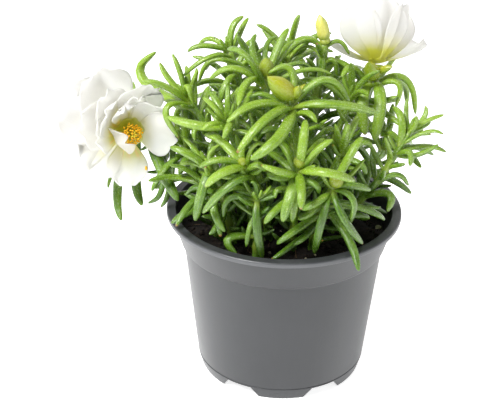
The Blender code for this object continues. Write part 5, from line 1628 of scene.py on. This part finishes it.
@dataclass
class FurledBud:
    """The pale yellow bud on the topmost stem, its petals furled in green sepals."""

    bud: Bud
    furl: float = 0.07
    twist: float = 2.6

    def build(self, material: Material) -> Object:
        """Build the bud's mesh and dress it.

        Args:
            material: The fleshy finish.

        Returns:
            The piece.
        """
        bm = new_mesh(GROWTH)
        foot, tip = seen(*self.bud.foot), seen(*self.bud.tip)
        Spindle(Curve([foot, tip]), self.bud.width * 0.97, self.girth, 1.0, 40, 36, ridges=self.furl,
                twist=self.twist).add(bm, self.paint)
        axis = (tip - foot).normalized()
        cup = Curve([foot - axis * 1.9, foot + axis * 2.1])
        Spindle(cup, 5.4, lambda s: math.sin(math.pi * (0.12 + 0.8 * s)) ** 0.45, 1.0, 28, 14,
                even=True).add(bm, (0.12, 0.4, 0.95, 0.35))
        return finish_piece("flower_bud_top_furled", bm, material, Slot.BUD, "flower_bud_top")

    @staticmethod
    def girth(s: float) -> float:
        """Share of its full width at s: full from low down, then narrowing to a blunt tip."""
        s = min(max(s, 0.0), 1.0)
        if s < 0.3:
            return math.sqrt(1.0 - 0.75 * ((0.3 - s) / 0.3) ** 2) if s > 0.0 else 0.0
        return max(math.cos(0.5 * math.pi * ((s - 0.3) / 0.7) ** 1.5), 0.0) ** 0.85

    @staticmethod
    def paint(s: float, out: Vector) -> tuple:
        """Colour the bud: green at its foot and right side, pale yellow above."""
        return 0.3, 0.3, 0.9, 0.25 + 0.75 * smooth(0.05, 0.4, s) * (1.0 - 0.45 * smooth(0.2, 1.0, out.x))


@dataclass
class NurseryPot:
    """The moulded pot: a turned shell with a rim flange, a collar and notched feet."""

    height: float = 90.0
    rim_radius: float = 60.0
    rim_inner_radius: float = 55.3
    lip_depth: float = 2.6
    collar_radius: float = 57.3
    collar_taper: float = 4.8
    shoulder_z: float = 71.3
    shoulder_step: float = 1.4
    wall_foot_radius: float = 44.0
    wall: float = 1.3
    floor_z: float = 6.0
    foot_radius: float = 42.3
    foot_width: float = 3.2
    rest_foot_radius: float = 6.0
    notches: int = 6
    notch_bottom: float = math.radians(30.0)
    notch_top: float = math.radians(18.0)
    notch_height: float = 5.8
    drain_radius: float = 3.6
    drain_circle: float = 30.0
    steps: int = 168

    def main_points(self) -> list[tuple[float, float]]:
        """Give radius and height of the section, from under the middle round to the floor's top."""
        collar_z = self.shoulder_z + 0.6
        lip_z = self.height - self.lip_depth
        step_radius = self.collar_radius - self.collar_taper
        foot_inside = self.foot_radius - self.foot_width
        floor_edge = self.wall_foot_radius - self.wall
        return [
            (0.0, 0.0), (self.rest_foot_radius, 0.0), (self.rest_foot_radius + 0.8, self.floor_z),
            (foot_inside - 0.8, self.floor_z), (foot_inside, 0.0), (self.foot_radius, 0.0),
            (self.wall_foot_radius, self.floor_z),
            (step_radius - self.shoulder_step, self.shoulder_z - 0.6), (step_radius, collar_z),
            (self.collar_radius, lip_z), (self.rim_radius, lip_z),
            (self.rim_radius, self.height - 0.7), (self.rim_radius - 0.7, self.height),
            (self.rim_inner_radius, self.height), (self.rim_inner_radius - 0.1, lip_z),
            (step_radius - self.wall, collar_z + 0.4),
            (step_radius - self.shoulder_step - self.wall, self.shoulder_z - 1.0),
            (floor_edge - 0.2, self.floor_z + self.wall + 1.2),
            (floor_edge - 1.6, self.floor_z + self.wall), (0.0, self.floor_z + self.wall),
        ]

    def fine_points(self) -> list[tuple[float, float]]:
        """Give the section with its seams cut and every corner rounded."""
        points = self.main_points()
        foot, shoulder = Vector(points[6]), Vector(points[7])
        slope = (shoulder - foot).normalized()
        inward = Vector((-slope.y, slope.x)) * 0.22
        seam = [foot + slope * d for d in (0.5, 1.1)]
        cut = [tuple(seam[0]), tuple(seam[0] + inward), tuple(seam[1] + inward), tuple(seam[1])]
        return rounded(points[:7] + cut + points[7:], 0.45, 4)

    def build(self, material: Material) -> Object:
        """Build the pot's mesh and dress it.

        Args:
            material: The plastic.

        Returns:
            The piece.
        """
        bm = spun(self.fine_points(), self.steps)
        pot = finish_piece("pot_moulded", bm, material, Slot.POT, "pot")
        cutter = new_object("cutter", self.cuts())
        cut = pot.modifiers.new("notches_and_drains", "BOOLEAN")
        cut.operation, cut.object = "DIFFERENCE", cutter
        mesh = bpy.data.meshes.new_from_object(pot.evaluated_get(bpy.context.evaluated_depsgraph_get()))
        pot.modifiers.clear()
        pot.data = mesh
        bpy.data.objects.remove(cutter)
        mesh.set_sharp_from_angle(angle=math.radians(38.0))
        return pot

    def cuts(self) -> BMesh:
        """Give the cutters of the notches between the feet and of the drain holes."""
        bm = bmesh.new()
        for number in range(self.notches):
            turn = Matrix.Rotation(FULL_TURN * number / self.notches, 4, "Z")
            made = bmesh.ops.create_cube(bm, size=1.0)["verts"]
            for vert in made:
                top = vert.co.z > 0.0
                half_angle = 0.5 * (self.notch_top if top else self.notch_bottom)
                radius = (self.wall_foot_radius + 4.0 if vert.co.x > 0.0
                          else self.foot_radius - self.foot_width - 3.0)
                side = math.copysign(math.tan(half_angle) * self.foot_radius, vert.co.y)
                vert.co = (radius, side, self.notch_height if top else -1.0)
            bmesh.ops.transform(bm, matrix=turn, verts=made)
            place = turn @ Matrix.Translation((self.drain_circle, 0.0, self.floor_z + 0.5 * self.wall))
            bmesh.ops.create_cone(bm, cap_ends=True, segments=28, radius1=self.drain_radius,
                                  radius2=self.drain_radius, depth=4.0 * self.wall, matrix=place)
        bmesh.ops.recalc_face_normals(bm, faces=bm.faces)
        return bm


def rounded(points: list[tuple[float, float]], radius: float, steps: int) -> list[tuple[float, float]]:
    """Round the corners of a section.

    Args:
        points: The section's corners.
        radius: How far from its corner a round starts, at most.
        steps: Pieces in a round.

    Returns:
        The rounded section.
    """
    made = [points[0]]
    for a, b, c in zip(points, points[1:], points[2:]):
        before, corner, after = Vector(a), Vector(b), Vector(c)
        back = min(radius, 0.4 * (before - corner).length, 0.4 * (after - corner).length)
        start = corner + (before - corner).normalized() * back
        end = corner + (after - corner).normalized() * back
        for k in range(steps + 1):
            t = k / steps
            made.append(tuple(start.lerp(corner, t).lerp(corner.lerp(end, t), t)))
    return made + [points[-1]]


def spun(points: list[tuple[float, float]], steps: int) -> BMesh:
    """Spin a section round the pot's axis into a closed body."""
    bm = bmesh.new()
    verts = [bm.verts.new((radius, 0.0, z)) for radius, z in points]
    edges = [bm.edges.new(pair) for pair in zip(verts, verts[1:])]
    bmesh.ops.spin(bm, geom=verts + edges, cent=(0, 0, 0), axis=(0, 0, 1), dvec=(0, 0, 0),
                   angle=FULL_TURN, steps=steps, use_merge=True)
    bmesh.ops.remove_doubles(bm, verts=bm.verts, dist=0.001)
    bmesh.ops.recalc_face_normals(bm, faces=bm.faces)
    return bm


@dataclass
class PottingSoil:
    """The soil: a body that fills the pot, with crumbs, fibres and pale grains on its top."""

    segments: int = 120
    ring_step: float = 1.6
    crumb_count: int = 620
    fibre_count: int = 70
    grain_count: int = 15
    bright_grain: tuple = (49.0, 2.0)
    crumb_reach: float = 49.5
    grain_reach: float = 47.0
    fibre_reach: float = 46.0
    fibre_limit: float = 48.5

    def edge_radius(self, z: float) -> float:
        """Give the radius of the soil at the collar."""
        (low_r, low_z), (high_r, high_z) = POT.main_points()[15], POT.main_points()[14]
        return low_r + (z - low_z) / (high_z - low_z) * (high_r - low_r) - GAP - 0.1

    def profile(self) -> list[tuple[float, float]]:
        """Give the section's side, from the floor up."""
        shoulder, step, foot = POT.main_points()[15:18]
        floor = POT.floor_z + POT.wall + GAP
        return [(0.0, floor), (foot[0] - GAP - 1.9, floor), (foot[0] - GAP - 0.1, foot[1] + 0.2),
                (step[0] - GAP - 0.1, step[1]), (self.edge_radius(shoulder[1]), shoulder[1] + 0.4),
                (self.edge_radius(SOIL_TOP), SOIL_TOP)]

    def top(self, x: float, y: float) -> float:
        """Height of the fine surface at a place."""
        rough = noise.noise(Vector((x, y, 3.0)) * 0.28) * 0.9
        return soil_height(x, y) + (rough + noise.noise(Vector((x, y, 9.0)) * 0.9) * 0.5)

    def build(self, chance: random.Random, soil: Material, fibre: Material,
              grain: Material) -> list[Object]:
        """Build the soil's meshes and dress them.

        Args:
            chance: Draws the small differences.
            soil: The peat.
            fibre: The dry fibres.
            grain: The pale mineral grains.

        Returns:
            The soil, the crumbs, the fibres and the grains.
        """
        edge = self.edge_radius(SOIL_TOP)
        rings = [(float(r), SOIL_TOP) for r in np.arange(edge - self.ring_step, 0.5, -self.ring_step)]
        bm = spun(self.profile() + rings + [(0.0, SOIL_TOP)], self.segments)
        for vert in bm.verts:
            if vert.co.z > SOIL_TOP - 0.01:
                vert.co.z = self.top(vert.co.x, vert.co.y)
                reach = vert.co.xy.length
                if reach > edge - 0.5 * self.ring_step:
                    vert.co.xy *= self.edge_radius(vert.co.z) / reach
        body = finish_piece("potting_soil_rough", bm, soil, Slot.SOIL, "potting_soil")
        crumbs = finish_piece("soil_crumbs", self.crumbs(chance), soil, Slot.SOIL)
        fibres = finish_piece("soil_fibres", self.fibres(chance), fibre, Slot.SOIL)
        grains = finish_piece("soil_pale_grains", self.grains(chance), grain, Slot.SOIL)
        return [body, crumbs, fibres, grains]

    def spot(self, chance: random.Random, reach: float) -> tuple[float, float]:
        """Draw a place on the soil."""
        radius, turn = reach * math.sqrt(chance.random()), chance.uniform(0.0, FULL_TURN)
        return radius * math.cos(turn), radius * math.sin(turn)

    def add_lump(self, bm: BMesh, x: float, y: float, size: float, fine: int,
                 chance: random.Random) -> None:
        """Add an uneven lump, sunk a little into the soil.

        Args:
            bm: The mesh.
            x: Its place.
            y: Its place.
            size: Its radius.
            fine: Subdivisions of the sphere that it starts from.
            chance: Draws the small differences.
        """
        made = add_sphere(bm, 0, fine)
        seed = Vector((chance.uniform(0, 99), chance.uniform(0, 99), 0.0))
        shape = Matrix.Diagonal((chance.uniform(0.7, 1.4), chance.uniform(0.7, 1.2), 0.75, 1.0))
        turn = Matrix.Rotation(chance.uniform(0.0, 6.28), 4, "Z")
        place = Matrix.Translation((x, y, self.top(x, y) + 0.25 * size))
        matrix = place @ turn @ shape @ Matrix.Scale(size, 4)
        for vert in made:
            vert.co = matrix @ (vert.co * (1.0 + 0.42 * noise.noise(vert.co * 1.1 + seed)))

    def crumbs(self, chance: random.Random) -> BMesh:
        """Give the crumbs of peat."""
        bm = new_mesh(GROWTH)
        for _ in range(self.crumb_count):
            x, y = self.spot(chance, self.crumb_reach)
            self.add_lump(bm, x, y, 0.45 + 1.25 * chance.random() ** 2.5, 2, chance)
        return bm

    def fibres(self, chance: random.Random) -> BMesh:
        """Give the fibres of peat and root."""
        bm = new_mesh(GROWTH)
        for _ in range(self.fibre_count):
            x, y = self.spot(chance, self.fibre_reach)
            turn, length = chance.uniform(0.0, 6.28), chance.uniform(5.0, 13.0)
            points = []
            for k in range(4):
                turn += chance.uniform(-0.5, 0.5)
                points.append(Vector((x, y, self.top(x, y) + chance.uniform(0.2, 1.5))))
                x, y = x + math.cos(turn) * length / 3.0, y + math.sin(turn) * length / 3.0
                if math.hypot(x, y) > self.fibre_limit:
                    break
            if len(points) > 2:
                Spindle(Curve(points), chance.uniform(0.25, 0.55), lambda s: 0.8, 1.0, 5, 14).add(
                    bm, (0.5, 0.5, 0.5, 0.0))
        return bm

    def grains(self, chance: random.Random) -> BMesh:
        """Give the pale mineral grains, one of them large and bright at the right."""
        bm = new_mesh(GROWTH)
        self.add_lump(bm, *self.bright_grain, 1.5, 3, chance)
        for _ in range(self.grain_count):
            x, y = self.spot(chance, self.grain_reach)
            self.add_lump(bm, x, y, chance.uniform(0.4, 0.9), 2, chance)
        return bm


@dataclass
class Studio:
    """The pale floor, the soft lights and the camera."""

    floor_size: float = 6000.0
    floor_z: float = -0.2
    floor_light: float = 0.80
    key_power: float = 19.0
    fill_power: float = 1.5
    front: float = 0.26
    back: float = 1.00
    zenith: float = 0.25

    def build(self) -> None:
        """Make the surroundings, the floor, the lights and the camera."""
        bpy.context.scene.view_settings.view_transform = "Standard"
        bpy.context.scene.world = self.white_room()
        bm = bmesh.new()
        bmesh.ops.create_grid(bm, x_segments=1, y_segments=1, size=0.5 * self.floor_size)
        floor = new_object("floor", bm)
        floor.location.z = self.floor_z * MM
        n = Nodes("white_floor", 0.9, 0.1)
        n.shade({"Base Color": n.mix(n.noise(3.0), (0.90, 0.90, 0.90), (0.92, 0.92, 0.92)),
                 "Emission Color": (1.0, 1.0, 1.0), "Emission Strength": self.floor_light})
        floor.data.materials.append(n.material)
        floor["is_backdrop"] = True
        self.light("key", (-0.58, -0.52, 1.02), 0.45, self.key_power)
        self.light("fill", (0.8, -0.5, 0.5), 0.8, self.fill_power)
        self.light("back", (0.25, 0.9, 0.8), 0.6, self.fill_power)
        VIEW.camera()

    def white_room(self) -> bpy.types.World:
        """Make white surroundings, dimmer at the viewer's side and overhead."""
        world = bpy.data.worlds.new("white_room")
        world.use_nodes = True
        n = Tree(world.node_tree, "Generated")
        way = n.parts(n.place)
        deep = n.fit(way["Y"], -0.75, 0.35, self.front, self.back, "LINEAR")
        high = n.fit(way["Z"], 0.15, 0.85, 1.0, self.zenith, "LINEAR")
        sky = world.node_tree.nodes["Background"]
        n.feed(sky.inputs["Color"], (1.0, 1.0, 1.0))
        n.feed(sky.inputs["Strength"], n.times(deep, high))
        return world

    @staticmethod
    def light(name: str, place: tuple, size: float, power: float) -> None:
        """Add a soft light that faces the plant.

        Args:
            name: Its name.
            place: Where it hangs, in metres.
            size: Its width.
            power: Its power in watts.
        """
        data = bpy.data.lights.new(name, "AREA")
        data.shape, data.size, data.energy = "DISK", size, power
        lamp = bpy.data.objects.new(name, data)
        way = Vector((0.0, 0.0, 0.11)) - Vector(place)
        lamp.matrix_world = (Matrix.Translation(place)
                             @ way.to_track_quat("-Z", "Y").to_matrix().to_4x4())
        bpy.context.scene.collection.objects.link(lamp)


POT = NurseryPot()
LEFT_INNER = (
    Petal(146, 40, 24, 20, 1.4, 0.14), Petal(178, 38, 24, 18, 1.5, 0.14),
    Petal(112, 46, 20, 15, 1.6, 0.14),
)


def main() -> None:
    """Build the whole plant in its pot, log its pieces' triangles and its leaves, and measure how large
    it came out.
    """
    logging.basicConfig(level=logging.INFO, format="%(name)s: %(message)s")
    fleshy = FleshyFinish().material()
    petal, pollen = PetalFinish().material(), PollenFinish().material()
    stems = Growth().grow()
    chance = random.Random(5)
    pieces = [stem.build(fleshy, chance) for stem in stems]
    pieces += Bloom(LEFT_FLOWER, LEFT_INNER, throat=7.4).build(petal, pollen)
    pieces += Bloom(RIGHT_FLOWER, stamen_count=40, seed=8).build(petal, pollen)
    pale = FleshyFinish(name="fleshy_pale_yellow", bud=(0.700, 0.670, 0.150)).material()
    pieces.append(FurledBud(TOP_BUD).build(pale))
    pieces.append(POT.build(PotFinish().material()))
    fibre = GrainFinish("dry_fibre", (0.16, 0.10, 0.05), (0.05, 0.03, 0.015))
    grain = GrainFinish("pale_grain", (0.75, 0.70, 0.50), (0.45, 0.40, 0.25))
    pieces += PottingSoil().build(chance, SoilFinish().material(), fibre.material(), grain.material())
    for piece in pieces:
        piece.data.calc_loop_triangles()
        log.info("%s: %d triangles", piece.name, len(piece.data.loop_triangles))
    log.info("leaves: %d", sum(len(stem.leaves) for stem in stems))
    for mesh in [mesh for mesh in bpy.data.meshes if not mesh.users]:
        bpy.data.meshes.remove(mesh)
    Studio().build()
    boxes = {name: [list(corner) for corner in box]
             for name, box in (("cad", cad_box), ("visual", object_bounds()))}


if __name__ == "__main__":
    main()
